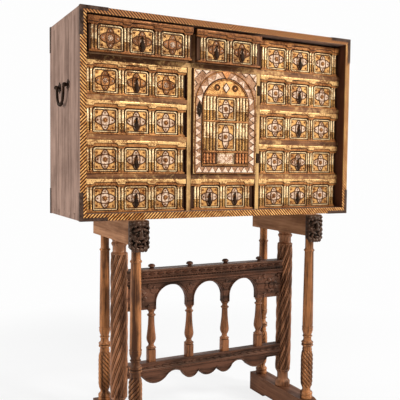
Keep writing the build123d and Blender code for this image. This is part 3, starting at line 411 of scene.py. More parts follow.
def plate(work, outline, back, front, ease=0.0):
    """An upright board of that (x, z) outline from back to front, its front edge eased."""
    back_ring = [work.verts.new((x, back, z)) for x, z in outline]
    front_ring = [work.verts.new((x, front, z)) for x, z in outline]
    faces = [work.faces.new(back_ring), work.faces.new(front_ring)]
    for i in range(len(outline)):
        j = (i + 1) % len(outline)
        faces.append(work.faces.new((back_ring[i], back_ring[j], front_ring[j], front_ring[i])))
    bmesh.ops.recalc_face_normals(work, faces=faces)
    eased(work, list(faces[1].edges), ease)


def block(work, low, high, ease=0.0):
    """A squared block between two corners, all edges eased."""
    made = bmesh.ops.create_cube(work, size=1.0)["verts"]
    for vert in made:
        for i in range(3):
            vert.co[i] = low[i] if vert.co[i] < 0 else high[i]
    eased(work, list({edge for vert in made for edge in vert.link_edges}), ease)


def circle(steps):
    angles = [2 * math.pi * i / steps for i in range(steps)]
    return [(math.cos(a), math.sin(a)) for a in angles]


def oval(width, height, steps, x, z):
    """Points round an ellipse of those half sizes."""
    return [(x + width * c, z + height * s) for c, s in circle(steps)]


def arc(radius, first, last, steps, x, z):
    """Points on an arc of that radius, from one angle to the other in degrees."""
    angles = [math.radians(first + (last - first) * i / steps) for i in range(steps + 1)]
    return [(x + radius * math.cos(a), z + radius * math.sin(a)) for a in angles]


def rounded(half, foot, top, radius):
    """Outline of a panel with round upper corners and nearly square lower ones."""
    low, high = foot + FOOT_RADIUS, top - radius
    return [
        *arc(FOOT_RADIUS, -90, 0, 5, half - FOOT_RADIUS, low),
        *arc(radius, 0, 90, 5, half - radius, high),
        *arc(radius, 90, 180, 5, radius - half, high),
        *arc(FOOT_RADIUS, 180, 270, 5, FOOT_RADIUS - half, low),
    ]


def moulding(work, path, section, closed=True, level=0.0):
    """A strip of that (offset, rise) section along an (x, z) path; rise is forwards from level."""
    count = len(path)
    rings = []
    for i, (x, z) in enumerate(path):
        before = path[i - 1] if closed or i else path[i]
        after = path[(i + 1) % count] if closed or i < count - 1 else path[i]
        way = Vector((after[0] - before[0], after[1] - before[1])).normalized()
        side = Vector((way.y, -way.x))
        rings.append([(x + side.x * u, level - h, z + side.y * u) for u, h in section])
    shell(work, rings, closed)


def half_round(width, rise, steps=5):
    """Section of a rounded moulding."""
    angles = [math.pi * i / steps for i in range(steps + 1)]
    points = [(-math.cos(a) * width / 2, math.sin(a) * rise) for a in angles]
    return [(-width / 2, -STRIP_SINK), *points, (width / 2, -STRIP_SINK)]


def lathe(work, profile, sides, x=0.0, y=0.0, strands=0, depth=0.0, twist=0.0):
    """A turned piece from (radius, height) pairs; strands of that depth wind round it."""
    rings = []
    for radius, height in profile:
        ring = []
        for i in range(sides):
            angle = 2 * math.pi * i / sides
            cut = depth * abs(math.sin((angle - twist * height) * strands / 2)) if strands else 0.0
            bulge = radius - depth + cut
            ring.append((x + bulge * math.cos(angle), y + bulge * math.sin(angle), height))
        rings.append(ring)
    shell(work, rings)


def rosette(work, radius, petals, rise, level=0.0, x=0.0, z=0.0, waist=0.7):
    """A little flower: a scalloped dome with a boss."""
    steps = petals * 6
    profile = [(1.0, -0.5), (1.0, rise * 0.45), (0.72, rise), (0.45, rise * 0.62)]
    profile += [(0.4, rise * 1.1), (0.2, rise * 1.35)]
    rings = []
    for share, height in profile:
        ring = []
        for i, (c, s) in enumerate(circle(steps)):
            scallop = waist + (1 - waist) * abs(math.sin(2 * math.pi * i / steps * petals / 2))
            r = radius * share * (scallop if share > 0.5 else 1.0)
            ring.append((x + r * c, level - height, z + r * s))
        rings.append(ring)
    shell(work, rings)


def shape_tree(name, **sockets):
    """A new shape tree with those inputs: its net, and a wire from each input by name."""
    tree = bpy.data.node_groups.new(name, "GeometryNodeTree")
    for socket, kind in sockets.items():
        tree.interface.new_socket(socket, in_out="INPUT", socket_type="NodeSocket" + kind)
    tree.interface.new_socket("Geometry", in_out="OUTPUT", socket_type="NodeSocketGeometry")
    net = Net(tree)
    source = tree.nodes.new("NodeGroupInput")
    return net, {item.name: Wire(net, item) for item in source.outputs if item.name}


def ended(net, geometry, finish):
    """Close a shape tree: real faces with their finish."""
    real = net.node("GeometryNodeRealizeInstances", values={"Geometry": geometry})
    done = net.node("GeometryNodeSetMaterial", values={"Geometry": real, "Material": finish})
    net.feed(net.tree.nodes.new("NodeGroupOutput"), "Geometry", done)
    return net.tree


def evaluated(host):
    """The mesh of an object as its modifiers leave it. The object goes."""
    bpy.context.view_layer.update()
    made = bpy.data.meshes.new_from_object(host.evaluated_get(bpy.context.evaluated_depsgraph_get()))
    bpy.data.objects.remove(host)
    return made


def linked(name, mesh):
    obj = bpy.data.objects.new(name, mesh)
    bpy.context.scene.collection.objects.link(obj)
    return obj


def grown(tree, **inputs):
    """The mesh that a shape tree makes from those inputs."""
    host = linked("host", bpy.data.meshes.new("host"))
    modifier = host.modifiers.new("shape", "NODES")
    modifier.node_group = tree
    for item in tree.interface.items_tree:
        if item.in_out == "INPUT":
            modifier[item.identifier] = inputs[item.name]
    return evaluated(host)


# The tree of a row sets copies of one piece along a straight line.
net, given = shape_tree(
    "row of pieces", Piece="Object", Count="Int", Start="Vector", Step="Vector", Finish="Material"
)
line = {"Count": given["Count"], "Start Location": given["Start"], "Offset": given["Step"]}
points = net.node("GeometryNodeMeshLine", {"mode": "OFFSET"}, line)
piece = net.node("GeometryNodeObjectInfo", values={"Object": given["Piece"]}, out="Geometry")
copies = net.node("GeometryNodeInstanceOnPoints", values={"Points": points, "Instance": piece})
row = ended(net, copies, given["Finish"])


def repeated(mesh, count, start, step):
    """That many copies of a mesh, the first at (start, 0, 0) and each one step further along x."""
    pattern = linked("pattern", mesh)
    line = {"Start": (start, 0, 0), "Step": (step, 0, 0)}
    made = grown(row, Piece=pattern, Count=count, Finish=mesh.materials[0], **line)
    bpy.data.objects.remove(pattern)
    return made


def fitted(node, craft, body, slot, *groups):
    """One finished piece in metres, in place of a node of the solid model and riding on its body.

    A group is a place and the meshes that stand there.
    """
    name = f"{node}.{craft}"
    work = bmesh.new()
    finishes = []
    for place, *meshes in groups:
        for mesh in meshes:
            verts, faces = len(work.verts), len(work.faces)
            work.from_mesh(mesh)
            work.verts.ensure_lookup_table()
            work.faces.ensure_lookup_table()
            bmesh.ops.translate(work, vec=place, verts=work.verts[verts:])
            finish = mesh.materials[0]
            if finish not in finishes:
                finishes.append(finish)
            for face in work.faces[faces:]:
                face.material_index = finishes.index(finish)
                face.smooth = True
    bmesh.ops.scale(work, vec=(0.001, 0.001, 0.001), verts=work.verts)
    mesh = bpy.data.meshes.new(name)
    work.to_mesh(mesh)
    work.free()
    for finish in finishes:
        mesh.materials.append(finish)
    mesh.set_sharp_from_angle(angle=math.radians(38))
    obj = linked(name, mesh)
    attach(obj, body)
    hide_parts(node)


def millimetres(node):
    low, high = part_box(node)
    return [1000 * v for v in low], [1000 * v for v in high]


def panel_parts(width, foot, top, filling):
    """One framed panel about x = 0: frame, dark line, crossed ovals, rosette and corner studs."""
    half, middle = width / 2, (foot + top) / 2
    tall, wide = (top - foot) / 2 - OVAL_INSET, half - OVAL_INSET
    outer = rounded(half - FRAME_INSET, foot + FRAME_INSET, top - FRAME_INSET, 8.0)
    inner = rounded(half - LINE_INSET, foot + LINE_INSET, top - LINE_INSET, 5.0)
    ovals = ((TALL_WAIST, tall, 3.4, -1.5), (wide, WIDE_WAIST, 3.2, -1.3))
    lines, fills = [], []
    for across, up, rise, face in ovals:
        lines.append((moulding, oval(across, up, 32, 0, middle), half_round(3.6, rise, 4)))
        fills.append(shape("fill", filling, (plate, oval(across, up, 28, 0, middle), LET_IN, face)))
    studs = []
    for sx, sz in ((-1, -1), (-1, 1), (1, -1), (1, 1)):
        x, z = sx * (half - 13.5), middle + sz * (tall - 7.0)
        studs.append((rosette, 4.0, 4, 1.8, -0.8, x, z))
    flower = [(rosette, 9.0, 8, 2.6, -1.2, 0.0, middle)]
    for sx, sz in ((1, 0), (-1, 0), (0, 1), (0, -1)):
        x, z = sx * (wide - 8.0), middle + sz * (tall - 8.0)
        flower.append((rosette, 3.4, 4, 1.6, -1.2, x, z))
    return [
        shape("frame", gilt_bright, (moulding, outer, half_round(5.2, 4.4))),
        shape("field", gilt_ground, (plate, outer, LET_IN, -0.8)),
        shape("line", dark_lines_and_shadow, (moulding, inner, half_round(2.8, 2.0, 3))),
        shape("ovals", oval_brown, *lines),
        *fills,
        shape("studs", gilt_brown, *studs),
        shape("flower", gilt_brown if filling is bone else bone, *flower),
    ]


def front_parts(width, height, bays, pitch, filling, cornice):
    """The carved front of a drawer about x = 0, its ground at y = 0 and its underside at z = 0."""
    capitals = height - CAPITAL
    half = width / 2 - FRONT_HIDDEN

    def edge(inset, low, high, radius):
        """A line level over the columns and arched with round shoulders over a panel."""
        low, high = capitals + low, capitals + high
        reach = min(radius, high - low)
        line = [(-(width - inset) / 2, low)]
        for i in range(bays):
            middle = (i - (bays - 1) / 2) * pitch
            left, right = middle - (pitch - BAND) / 2, middle + (pitch - BAND) / 2
            line += [(left - 1.0, low), *arc(reach, 180, 90, 5, left + reach, high - reach)]
            line += [*arc(reach, 90, 0, 5, right - reach, high - reach), (right + 1.0, low)]
        return [*line, ((width - inset) / 2, low)]

    lower = [*edge(2, 0, 3, 3), (width / 2 - 1, height - 4), (-width / 2 + 1, height - 4)]
    upper = [*edge(0, 7, 14, 7), (width / 2, height), (-width / 2, height)]
    # A dark strip just under the upper cornice's edge: a painted shadow.
    cornice_shadow = (moulding, edge(4, 6.2, 13.2, 7), half_round(3.0, 1.4, 3), False, -6.0)
    meshes = [
        # The dark ground in the gaps: painted shade.
        shape("ground", shadow_ground, (block, (-half, 0.0, 0.0), (half, FRONT_THICK, height))),
        shape("cornice lines", dark_lines_and_shadow, cornice_shadow),
        shape("base strip", gilt_brown, (block, (-half, -7.0, 0.4), (half, LET_IN, 6.0), 1.0)),
        shape("lower cornice", gilt_brown, (plate, lower, LET_IN, -6.5, 0.8)),
        shape("upper cornice", cornice, (plate, upper, LET_IN, -REACH, 1.2)),
    ]
    for mesh in panel_parts(pitch - BAND, FRAME_FOOT, FRAME_TOP, filling):
        meshes.append(repeated(mesh, bays, -(bays - 1) / 2 * pitch, pitch))
    for mesh in half_columns:
        for side in (-PAIR / 2, PAIR / 2):
            meshes.append(repeated(mesh, bays + 1, -bays / 2 * pitch + side, pitch))
    return meshes


def shaded_copies(meshes):
    """The same meshes under darker copies of the leaf: painted shade for the top row."""
    made = [mesh.copy() for mesh in meshes]
    for mesh in made:
        fresh = mesh.materials[0]
        mesh.materials[0] = shaded_leaf.get(fresh.name, fresh)
    return made


def drawer_box(work, width, height, depth):
    """The drawer's box behind its front: two sides, a back and a bottom."""
    half, top = width / 2 - FRONT_HIDDEN, height - BOX_LOWER
    inside = half - WALL
    for side in (-1, 1):
        low, high = sorted((side * half, side * inside))
        block(work, (low, FRONT_THICK, 0), (high, depth, top), 0.6)
    block(work, (-inside, depth - WALL, 0), (inside, depth, top), 0.6)
    block(work, (-inside, FRONT_THICK, 0), (inside, depth - WALL, FLOOR))


def staple(work, x, z):
    """Iron staple and its round rose, from which a drop pull hangs."""
    rosette(work, 7.0, 8, 1.6, 1.6, x, z)
    block(work, (x - 1.5, -STAND_OFF, z - 1.4), (x + 1.5, 0.0, z + 1.4), 0.4)
    rings = []
    for c, s in circle(16):
        y, height = -STAND_OFF + 2.9 * c, z + 2.9 * s
        rings.append([(x + 1.1 * a, y + 0.9 * b * c, height + 0.9 * b * s) for a, b in circle(6)])
    shell(work, rings, True)


strands = [(4.4, 10.0 + 1.5 * i) for i in range(21)]
shaft = [(4.7, 39.5), (4.7, 42.5), (3.3, 44.0), (4.4, 50.0), (4.5, 58.0)]
shaft += [(3.9, 70.0), (3.3, 78.0), (4.6, 79.5), (4.6, 81.5), (4.0, 82.5)]
half_columns = (
    shape("column foot", gilt_brown, (block, (-5.0, -5.4, 5.0), (5.0, 0.0, 11.0), 0.7)),
    shape("twisted half column", gilt_twisted, (lathe, strands, 20, 0, 0, 5, 1.5, 0.16)),
    shape("plain half column", gilt_bright, (lathe, shaft, 16)),
    shape("column capital", gilt_brown, (block, (-5.0, -5.6, 82.0), (5.0, 0.0, 87.0), 0.7)),
)

fronts = {}
for node in sorted(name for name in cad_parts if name.startswith("drawer_")):
    low, high = millimetres(node)
    width, height = high[0] - low[0], high[2] - low[2]
    centre = node.startswith("drawer_centre")
    bays, end = (2, CENTRE_END) if centre else (3, SIDE_END)
    pitch = (width - 2 * end) / bays
    filling = gilt_brown if node in BROWN_FILLED else bone
    cornice = gilt_brown if node in BROWN_TOPPED else gilt_cornice
    kind = (centre, filling.name, cornice.name, node in SHADED_TOP_ROW)
    if kind not in fronts:
        meshes = front_parts(width, height, bays, pitch, filling, cornice)
        fronts[kind] = shaded_copies(meshes) if node in SHADED_TOP_ROW else meshes
    ground_y = low[1] + REACH
    box = shape("drawer box", drawer_wood, (drawer_box, width, height, high[1] - ground_y))
    eyes = (-pitch / 2, pitch / 2) if centre else (0.0,)
    staples = [shape("staple", black_iron, (staple, eye, EYE_HEIGHT)) for eye in eyes]
    place = ((low[0] + high[0]) / 2, ground_y, low[2])
    group = (place, *fronts[kind], box, *staples)
    fitted(node, "carved", node, "gilt_and_bone_walnut", group)

# ---------------------------------------------------------------- drop pulls
# Forged iron drops, ribbed like a shell. Each hangs by its eye from the staple of a drawer's front
# and swings on it.
PULL_LENGTH = 43.0
PULL_OUTLINE = [(2.0, -5.0), (2.6, -9.0), (5.4, -15.0), (7.4, -24.0)]  # half width and height
PULL_OUTLINE += [(7.0, -31.0), (4.4, -38.0), (0.6, -43.0)]


def drop(work):
    rings = []
    for half, z in PULL_OUTLINE:
        ring = []
        for c, s in circle(16):
            rib = 1.0 + 0.16 * math.cos(5 * math.pi * c)
            ring.append((half * c, 1.9 * s * rib * min(1.0, half / 4.0), z))
        rings.append(ring)
    shell(work, rings)
    rings = []
    for c, s in circle(16):
        eye = [(3.7 + 0.9 * b, 0.9 * a) for a, b in circle(6)]
        rings.append([(reach * c, y, reach * s - 2.6) for reach, y in eye])
    shell(work, rings, True)


pull = shape("drop pull", black_iron, (drop,))
for node in sorted(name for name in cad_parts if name.startswith("pull_")):
    low, high = millimetres(node)
    place = ((low[0] + high[0]) / 2, (low[1] + high[1]) / 2, low[2] + PULL_LENGTH)
    fitted(node, "forged", node, "dark_iron", (place, pull))

# ---------------------------------------------------------------- cupboard door
# One walnut board in the middle of the chest, hinged on its right edge and worked like a little
# church front: a round arch over two storeys of half columns and a base, with bone and dark wood let
# into its border in triangles.
BOARD_THICK = 11.0
BORDER_OUT, BORDER_IN = 119.0, 91.0
SPRING = 239.0  # heights above the door's foot
BORDER_TOP = 30.0
BASE_LOW, BASE_HIGH = 34.0, 74.0
STOREYS = ((83.0, 180.0, 127.0), (188.0, 268.0, 222.0))  # foot, top and the columns' split
DOOR_COLUMNS = (47.0, 59.5, 72.0, 84.5)
PANEL_HALF = 36.0
TRIANGLE, FOOT_TEETH, ARCH_TEETH = 25.5, 9, 8
SIDE_TEETH = int((SPRING - BORDER_TOP) / TRIANGLE)
BOSS_X, BOSS_Z = 36.0, 301.0
GROUND_HALF = 125.5

pink_bone = gilding("pink bone", (0.86, 0.64, 0.48, 1), (0.46, 0.25, 0.14, 1), 0.0)
red_wood = gilding("red wood", (0.62, 0.25, 0.085, 1), (0.2, 0.05, 0.012, 1), 0.1)
door_ground = gilding("door ground", (0.46, 0.25, 0.14, 1), (0.17, 0.065, 0.025, 1), 0.1)

low, high = millimetres("door")
door_width, door_height = high[0] - low[0], high[2] - low[2]
edge_top = door_height - 2.5


def mirrored(points, side):
    return [(side * x, z) for x, z in points]


def arch(radius, foot, steps=40):
    """A round arch on straight jambs."""
    return [(radius, foot), *arc(radius, 0, 180, steps, 0, SPRING), (-radius, foot)]


def border_teeth(work):
    """Triangles of bone set side by side in the jambs, along the foot and round the arch."""
    inside, outside = BORDER_IN + 6.0, BORDER_OUT - 1.5
    teeth = []
    for side in (-1, 1):
        for i in range(SIDE_TEETH):
            foot = BORDER_TOP + TRIANGLE * i
            base = ((outside, foot + 0.8), (outside, foot + TRIANGLE - 0.8))
            teeth.append(mirrored((*base, (inside, foot + TRIANGLE / 2)), side))
    pitch = 2 * outside / FOOT_TEETH
    for i in range(FOOT_TEETH):
        left = pitch * i - outside
        base = ((left + 0.8, 6.5), (left + pitch - 0.8, 6.5))
        teeth.append((*base, (left + pitch / 2, BORDER_TOP - 4.5)))
    for i in range(ARCH_TEETH):
        first = 3.0 + 19.5 * i + (18.5 if i > 3 else 0.0)
        base = arc(inside, first + 0.4, first + 17.6, 5, 0, SPRING)
        teeth.append([*base, *arc(outside, first + 9.0, first + 9.0, 1, 0, SPRING)[:1]])
    for tooth in teeth:
        plate(work, tooth, LET_IN, -1.6, 0.3)


def border_zigzags(work):
    """Dark lines between the triangles of the jambs and of the foot."""
    inside, outside = BORDER_IN + 6.0, BORDER_OUT - 2.0
    jamb = []
    for i in range(2 * SIDE_TEETH + 1):
        jamb.append((inside if i % 2 else outside, BORDER_TOP + TRIANGLE / 2 * i))
    for side in (-1, 1):
        moulding(work, mirrored(jamb, side), half_round(2.2, 2.2, 3), False)
    pitch = outside / FOOT_TEETH
    foot = [(pitch * i - outside, BORDER_TOP - 4.0 if i % 2 else 6.0) for i in range(2 * FOOT_TEETH + 1)]
    moulding(work, foot, half_round(1.8, 2.0, 3), False)


def spandrel_bone(work):
    top = door_height - 5.0
    for side in (-1, 1):
        for points in (
            ((122, top), (96, top), (109, top - 13)),
            ((92, top), (66, top), (79, top - 11)),
            ((124, top - 5), (124, top - 31), (112, top - 18)),
            ((124, top - 36), (124, top - 62), (117, top - 49)),
        ):
            plate(work, mirrored(points, side), LET_IN, -1.2, 0.3)


def spandrel_lines(work):
    points = ((126.0, -64), (113, -50), (125, -34), (109, -18), (94, -2), (79, -15), (62, 0))
    path = [(x, edge_top + above) for x, above in points]
    for side in (-1, 1):
        moulding(work, mirrored(path, side), half_round(2.4, 1.8, 3), False)


def spandrel_ground(work):
    block(work, (-GROUND_HALF, -0.3, SPRING), (GROUND_HALF, LET_IN, door_height - 3.0))
    for side in (-1, 1):
        near, far = sorted((side * (BORDER_IN + 3.0), side * GROUND_HALF))
        block(work, (near, -0.3, BORDER_TOP), (far, LET_IN, SPRING))
    block(work, (-GROUND_HALF, -0.3, 3.0), (GROUND_HALF, LET_IN, BORDER_TOP))


def entablature(work):
    for foot, top, reach, half in (  # from above
        (269.0, 275.5, 4.4, 88.0),
        (180.5, 187.5, 4.4, 90.0),
        (75.0, 82.0, 4.4, 90.0),
        (31.5, 34.5, 3.6, 90.0),
    ):
        block(work, (-half, -reach, foot), (half, LET_IN, top), 1.2)
        block(work, (-half, -reach - 1.2, foot + 2.2), (half, LET_IN, top - 2.0), 0.6)


def spindles(work):
    profile = [(2.4, BASE_LOW + 1.0), (4.8, BASE_LOW + 5.0)]
    profile += [(5.0, BASE_LOW + 6.0 + 2.0 * i) for i in range(15)]
    profile += [(4.8, BASE_HIGH - 3.0), (2.4, BASE_HIGH + 0.5)]
    for side in (-1, 1):
        for x in DOOR_COLUMNS:
            lathe(work, profile, 18, side * x, 0.6, 3, 2.2, -0.17 * side)


def storey_columns(work, lower):
    """The half columns of both storeys: their twisted lower parts or their plain upper ones."""
    for foot, top, split in STOREYS:
        rise = top - split
        twists = [(4.9, foot + 1.6 * i) for i in range(int((split - foot) / 1.6) + 1)]
        plain = [(5.6, split), (5.6, split + 3), (3.8, split + 5), (5.0, split + 12)]
        plain += [(5.1, split + 0.5 * rise), (3.8, top - 7), (5.4, top - 5), (5.4, top)]
        for side in (-1, 1):
            for x in DOOR_COLUMNS:
                if lower:
                    lathe(work, twists, 18, side * x, 0.4, 5, 1.7, 0.15)
                else:
                    lathe(work, plain, 14, side * x, 0.4)


TYMPANUM, TYMPANUM_FOOT = BORDER_IN - 3.0, 36.0  # radius, and foot above the spring
first = math.degrees(math.atan2(TYMPANUM_FOOT, math.sqrt(TYMPANUM**2 - TYMPANUM_FOOT**2)))
tympanum = arc(TYMPANUM, first, 180 - first, 28, 0, SPRING)
keystone = arc(BORDER_OUT - 1.0, 98.5, 81.5, 4, 0, SPRING) + [(0.0, SPRING + BORDER_IN + 1.0)]
column_ground = [
    (block, (1.5 - BORDER_IN, -0.5, foot), (BORDER_IN - 1.5, LET_IN, top))
    for foot, top in ((83.0, 180.0), (188.0, 268.0), (BASE_LOW, BASE_HIGH))
]
board = (block, (-door_width / 2, 0, 0), (door_width / 2, BOARD_THICK, door_height), 0.8)
door_edge = [(-125.0, 2.6), (125.0, 2.6), (125.0, edge_top), (-125.0, edge_top)]
jambs = (arch(BORDER_OUT, 3.0), arch(BORDER_IN, BORDER_TOP, 36))
arch_line = arch(BORDER_IN + 4.0, BORDER_TOP - 4.0)
boss_rings = [oval(9.5, 9.5, 24, x, BOSS_Z) for x in (-BOSS_X, BOSS_X)]
bosses = [(rosette, 7.5, 6, 2.6, 0.0, x, BOSS_Z) for x in (-BOSS_X, BOSS_X)]
diamond = [(0, 286), (11.0, 301), (0, 316), (-11.0, 301)]
diamond_line = [(0, 284), (12.5, 301), (0, 318), (-12.5, 301)]
base_frame = [(-33, BASE_LOW + 2.5), (33, BASE_LOW + 2.5), (33, BASE_HIGH - 1.5), (-33, BASE_HIGH - 1.5)]
base_panel = (block, (-30, -1.6, BASE_LOW + 4), (30, LET_IN, BASE_HIGH - 4), 0.4)
door_parts = [
    # The dark board at the margins and the dark ground between the columns: painted shade.
    shape("door board", shadow_ground, board),
    shape("spandrel ground", door_ground, (spandrel_ground,)),
    shape("border teeth", pink_bone, (border_teeth,)),
    shape(
        "arch mouldings",
        gilt_brown,
        (moulding, jambs[0], half_round(5.0, 3.4)),
        (moulding, jambs[1], half_round(5.0, 4.2)),
    ),
    shape("door edge", gilt_cornice, (moulding, door_edge, half_round(4.4, 2.2, 3))),
    shape("ground between the columns", shadow_ground, *column_ground),
    shape("arch lines", dark_lines_and_shadow, (moulding, arch_line, half_round(2.4, 1.6, 3))),
    shape("keystone", red_wood, (plate, keystone[::-1], LET_IN, -4.6, 1.0)),
    shape("zigzags", oval_brown, (border_zigzags,)),
    shape("spandrel bone", pink_bone, (spandrel_bone,)),
    shape("spandrel lines", dark_lines_and_shadow, (spandrel_lines,)),
    shape("tympanum", gilt_ground, (plate, tympanum, LET_IN, -0.9)),
    shape("entablature", gilt_brown, (entablature,)),
    shape("boss rings", oval_brown, *[(moulding, ring, half_round(4.4, 4.0)) for ring in boss_rings]),
    shape("bosses", red_wood, *bosses),
    shape("diamond", pink_bone, (plate, diamond, LET_IN, -2.2, 0.6)),
    shape("diamond line", dark_lines_and_shadow, (moulding, diamond_line, half_round(4.4, 3.2, 3))),
    shape("base panel", bone, base_panel),
    shape("base frame", gilt_bright, (moulding, base_frame, half_round(5.0, 3.4))),
    shape("spindles", red_wood, (spindles,)),
    shape("twisted columns", gilt_twisted, (storey_columns, True)),
    shape("plain columns", gilt_bright, (storey_columns, False)),
]
for foot, top, split in STOREYS:
    ground = (block, (-PANEL_HALF, -0.6, foot), (PANEL_HALF, LET_IN, top))
    door_parts += panel_parts(2 * PANEL_HALF + 3, foot, top - 1.0, bone)
    door_parts.append(shape("panel ground", gilt_ground, ground))

place = ((low[0] + high[0]) / 2, high[1] - BOARD_THICK, low[2])
fitted("door", "carved", "door", "gilt_and_bone_walnut", (place, *door_parts))

# ---------------------------------------------------------------- door irons
# A lozenge lock plate nailed to the closing side and two small barrel hinges on the other. They are
# the solid model's own, in black iron.
dress("door_ironwork", black_iron)
dress("door_hinges", black_iron)

# ---------------------------------------------------------------- side handles
# A forged drop handle on each end: a smooth bar bent to a U with a swollen grip, hung between two
# studs that rise out of cusped iron roses.
HANDLE_SPAN = 106.0
STUD_RADIUS = 6.5
BAR_GAP = 5.2  # from a stud to the middle of the bar beside it
DROP = 62.0
BAR_RADIUS, BAR_END_RADIUS, PIN_RADIUS = 4.5, 4.2, 3.4
GRIP, COLLAR = 1.95, 1.5  # the bar's swellings
BAR_OUT = 13.0  # from the side board to the middle of the bar
ROSE_RADIUS = 19


def tube(work, path, radii):
    """A round bar along points of one upright plane across x, with a radius for each point."""
    rings = []
    for i, point in enumerate(path):
        before, after = Vector(path[max(i - 1, 0)]), Vector(path[min(i + 1, len(path) - 1)])
        across = Vector((1, 0, 0))
        other = (after - before).normalized().cross(across)
        rings.append([Vector(point) + radii[i] * (c * across + s * other) for c, s in circle(12)])
    shell(work, rings)


def bail_bar(work):
    limb = HANDLE_SPAN / 2 - STUD_RADIUS - BAR_GAP
    steps = 48
    path, radii = [(0.0, -limb, 4.0)], [BAR_END_RADIUS]
    for i in range(steps + 1):
        angle = math.pi * i / steps
        path.append((0.0, -limb * math.cos(angle), -DROP * math.sin(angle) ** 0.7))
        away = abs(angle - math.pi / 2)
        grip = GRIP * math.exp(-((away / 0.2) ** 2))
        collar = COLLAR * math.exp(-(((away - 0.4) / 0.05) ** 2))
        radii.append(BAR_RADIUS + grip + collar)
    tube(work, [*path, (0.0, limb, 4.0)], [*radii, BAR_END_RADIUS])
    for side in (-1, 1):
        ends = sorted((side * (limb - 3.0), side * (HANDLE_SPAN / 2 + STUD_RADIUS + 3.5)))
        tube(work, [(0.0, ends[0], 0.0), (0.0, ends[1], 0.0)], [PIN_RADIUS] * 2)


def rose_and_stud(work):
    """A cusped rose flat against the board and the stud that stands out of it along z."""
    rings = []
    for share, rise in ((1.0, 0.0), (1.0, 1.4), (0.8, 2.6), (0.45, 2.2), (0.4, 3.6)):
        ring = []
        for i, (c, s) in enumerate(circle(48)):
            cusp = 0.62 + 0.38 * abs(math.cos(math.pi * i / 8)) if share > 0.5 else 1.0
            ring.append((ROSE_RADIUS * share * cusp * c, ROSE_RADIUS * share * cusp * s, rise))
        rings.append(ring)
    shell(work, rings)
    stud = [(8.5, 2.0), (6.0, 4.0), (5.4, 6.5), (6.6, 8.5), (7.4, 13.0), (6.4, 17.0), (3.0, 19.4)]
    lathe(work, stud, 20)


low, high = millimetres("handle_mounts")
handle_y, handle_z = (low[1] + high[1]) / 2, (low[2] + high[2]) / 2
side_x = case_high[0] * 1000
bar = shape("bail bar", black_iron, (bail_bar,))
mounts = []
for side, hand in ((-1, "left"), (1, "right")):
    outwards = Matrix.Rotation(side * math.radians(90), 4, "Y")
    stud = shape("rose and stud", black_iron, (rose_and_stud,), turn=outwards)
    for end in (-1, 1):
        mounts.append(((side * side_x, handle_y + end * HANDLE_SPAN / 2, handle_z), stud))
    place = (side * (side_x + BAR_OUT), handle_y, handle_z)
    fitted(hand + "_bail", "forged", hand + "_bail", "dark_iron", (place, bar))
fitted("handle_mounts", "forged", "cabinet", "dark_iron", *mounts)

# ---------------------------------------------------------------- runners
# Two heavy walnut feet from front to back, each resting on a pad at either end. They are the solid
# model's own.
runner_wood = wood("walnut runners", (0.05, 0.018, 0.009, 1), (0.20, 0.08, 0.038, 1), 1, gloss=0.55)
for node in ("left_runner", "right_runner"):
    dress(node, runner_wood)

# ---------------------------------------------------------------- slim columns
# Four turned columns, two to a trestle: a twisted vase between rings below, a long tapering shaft and
# a ringed neck above. The twist runs the other way on the front right and rear left ones.
SHAFT_DARK, SHAFT_LIGHT = (0.045, 0.014, 0.006, 1), (0.42, 0.165, 0.058, 1)
shaft_wood = wood(
    "walnut shafts", SHAFT_DARK, SHAFT_LIGHT, 2, corner_shade=0.2, gloss=0.75, reach=0.01, figure=1.5
)
RUNNER_TOP, BOX_FLOOR = 74.0, 698.0
HEIGHT = BOX_FLOOR - RUNNER_TOP
VASE_LOW, VASE_HIGH = 42.0, 186.0
SLIM_RADIUS = 23.5
TAPER_LOW, TAPER_HIGH = 286, HEIGHT - 68
VASE = dict(
    Foot=(0, 0, VASE_LOW), Top=(0, 0, VASE_HIGH), Radius=23.0, Groove=0.19, Strands=9, Broad=1.0,
    Narrowing=0.28, Finish=shaft_wood,
)

# The tree of a twisted shaft winds round strands about an upright line and narrows at both ends.
# Broad is a strand's share of its pitch, and a thin fillet takes what is left.
sizes = dict.fromkeys(("Radius", "Groove", "Broad", "Turns", "Narrowing"), "Float")
net, given = shape_tree(
    "twisted shaft", Foot="Vector", Top="Vector", Strands="Int", Finish="Material", **sizes
)
round_sides = {"Resolution": given["Strands"] * 16, "Radius": 1.0}
ring = net.node("GeometryNodeCurvePrimitiveCircle", {"mode": "RADIUS"}, round_sides)
place = net.node("GeometryNodeInputPosition")
x, y, _ = net.split(place)
turn = (y.maths("ARCTAN2", y, x) / (2 * math.pi) + 1.0) * given["Strands"] % 1.0
broad = (turn / given["Broad"] * math.pi).sine()
thin = (turn - given["Broad"]).at_least(0.0)
fillet = (thin / (1.0 - given["Broad"] + 0.0001) * math.pi).sine() * 0.6
share = 1.0 - given["Groove"] * (1.0 - broad.at_least(fillet) ** 0.8)
pressed = net.node("ShaderNodeVectorMath", {"operation": "SCALE"}, {0: place, "Scale": share})
section = net.node("GeometryNodeSetPosition", values={"Geometry": ring, "Position": pressed})
ends = {"Start": given["Foot"], "End": given["Top"]}
line = net.node("GeometryNodeCurvePrimitiveLine", values=ends)
run = net.node("GeometryNodeResampleCurve", values={"Curve": line, "Count": 72})
along = net.node("GeometryNodeSplineParameter", out="Factor")
tilt = along * given["Turns"] * 2 * math.pi
turned_run = net.node("GeometryNodeSetCurveTilt", values={"Curve": run, "Tilt": tilt})
girth = given["Radius"] * (1.0 - given["Narrowing"] * abs(along * 2.0 - 1.0) ** 7.0)
sweep = {"Curve": turned_run, "Profile Curve": section, "Scale": girth, "Fill Caps": True}
twist = ended(net, net.node("GeometryNodeCurveToMesh", values=sweep), given["Finish"])


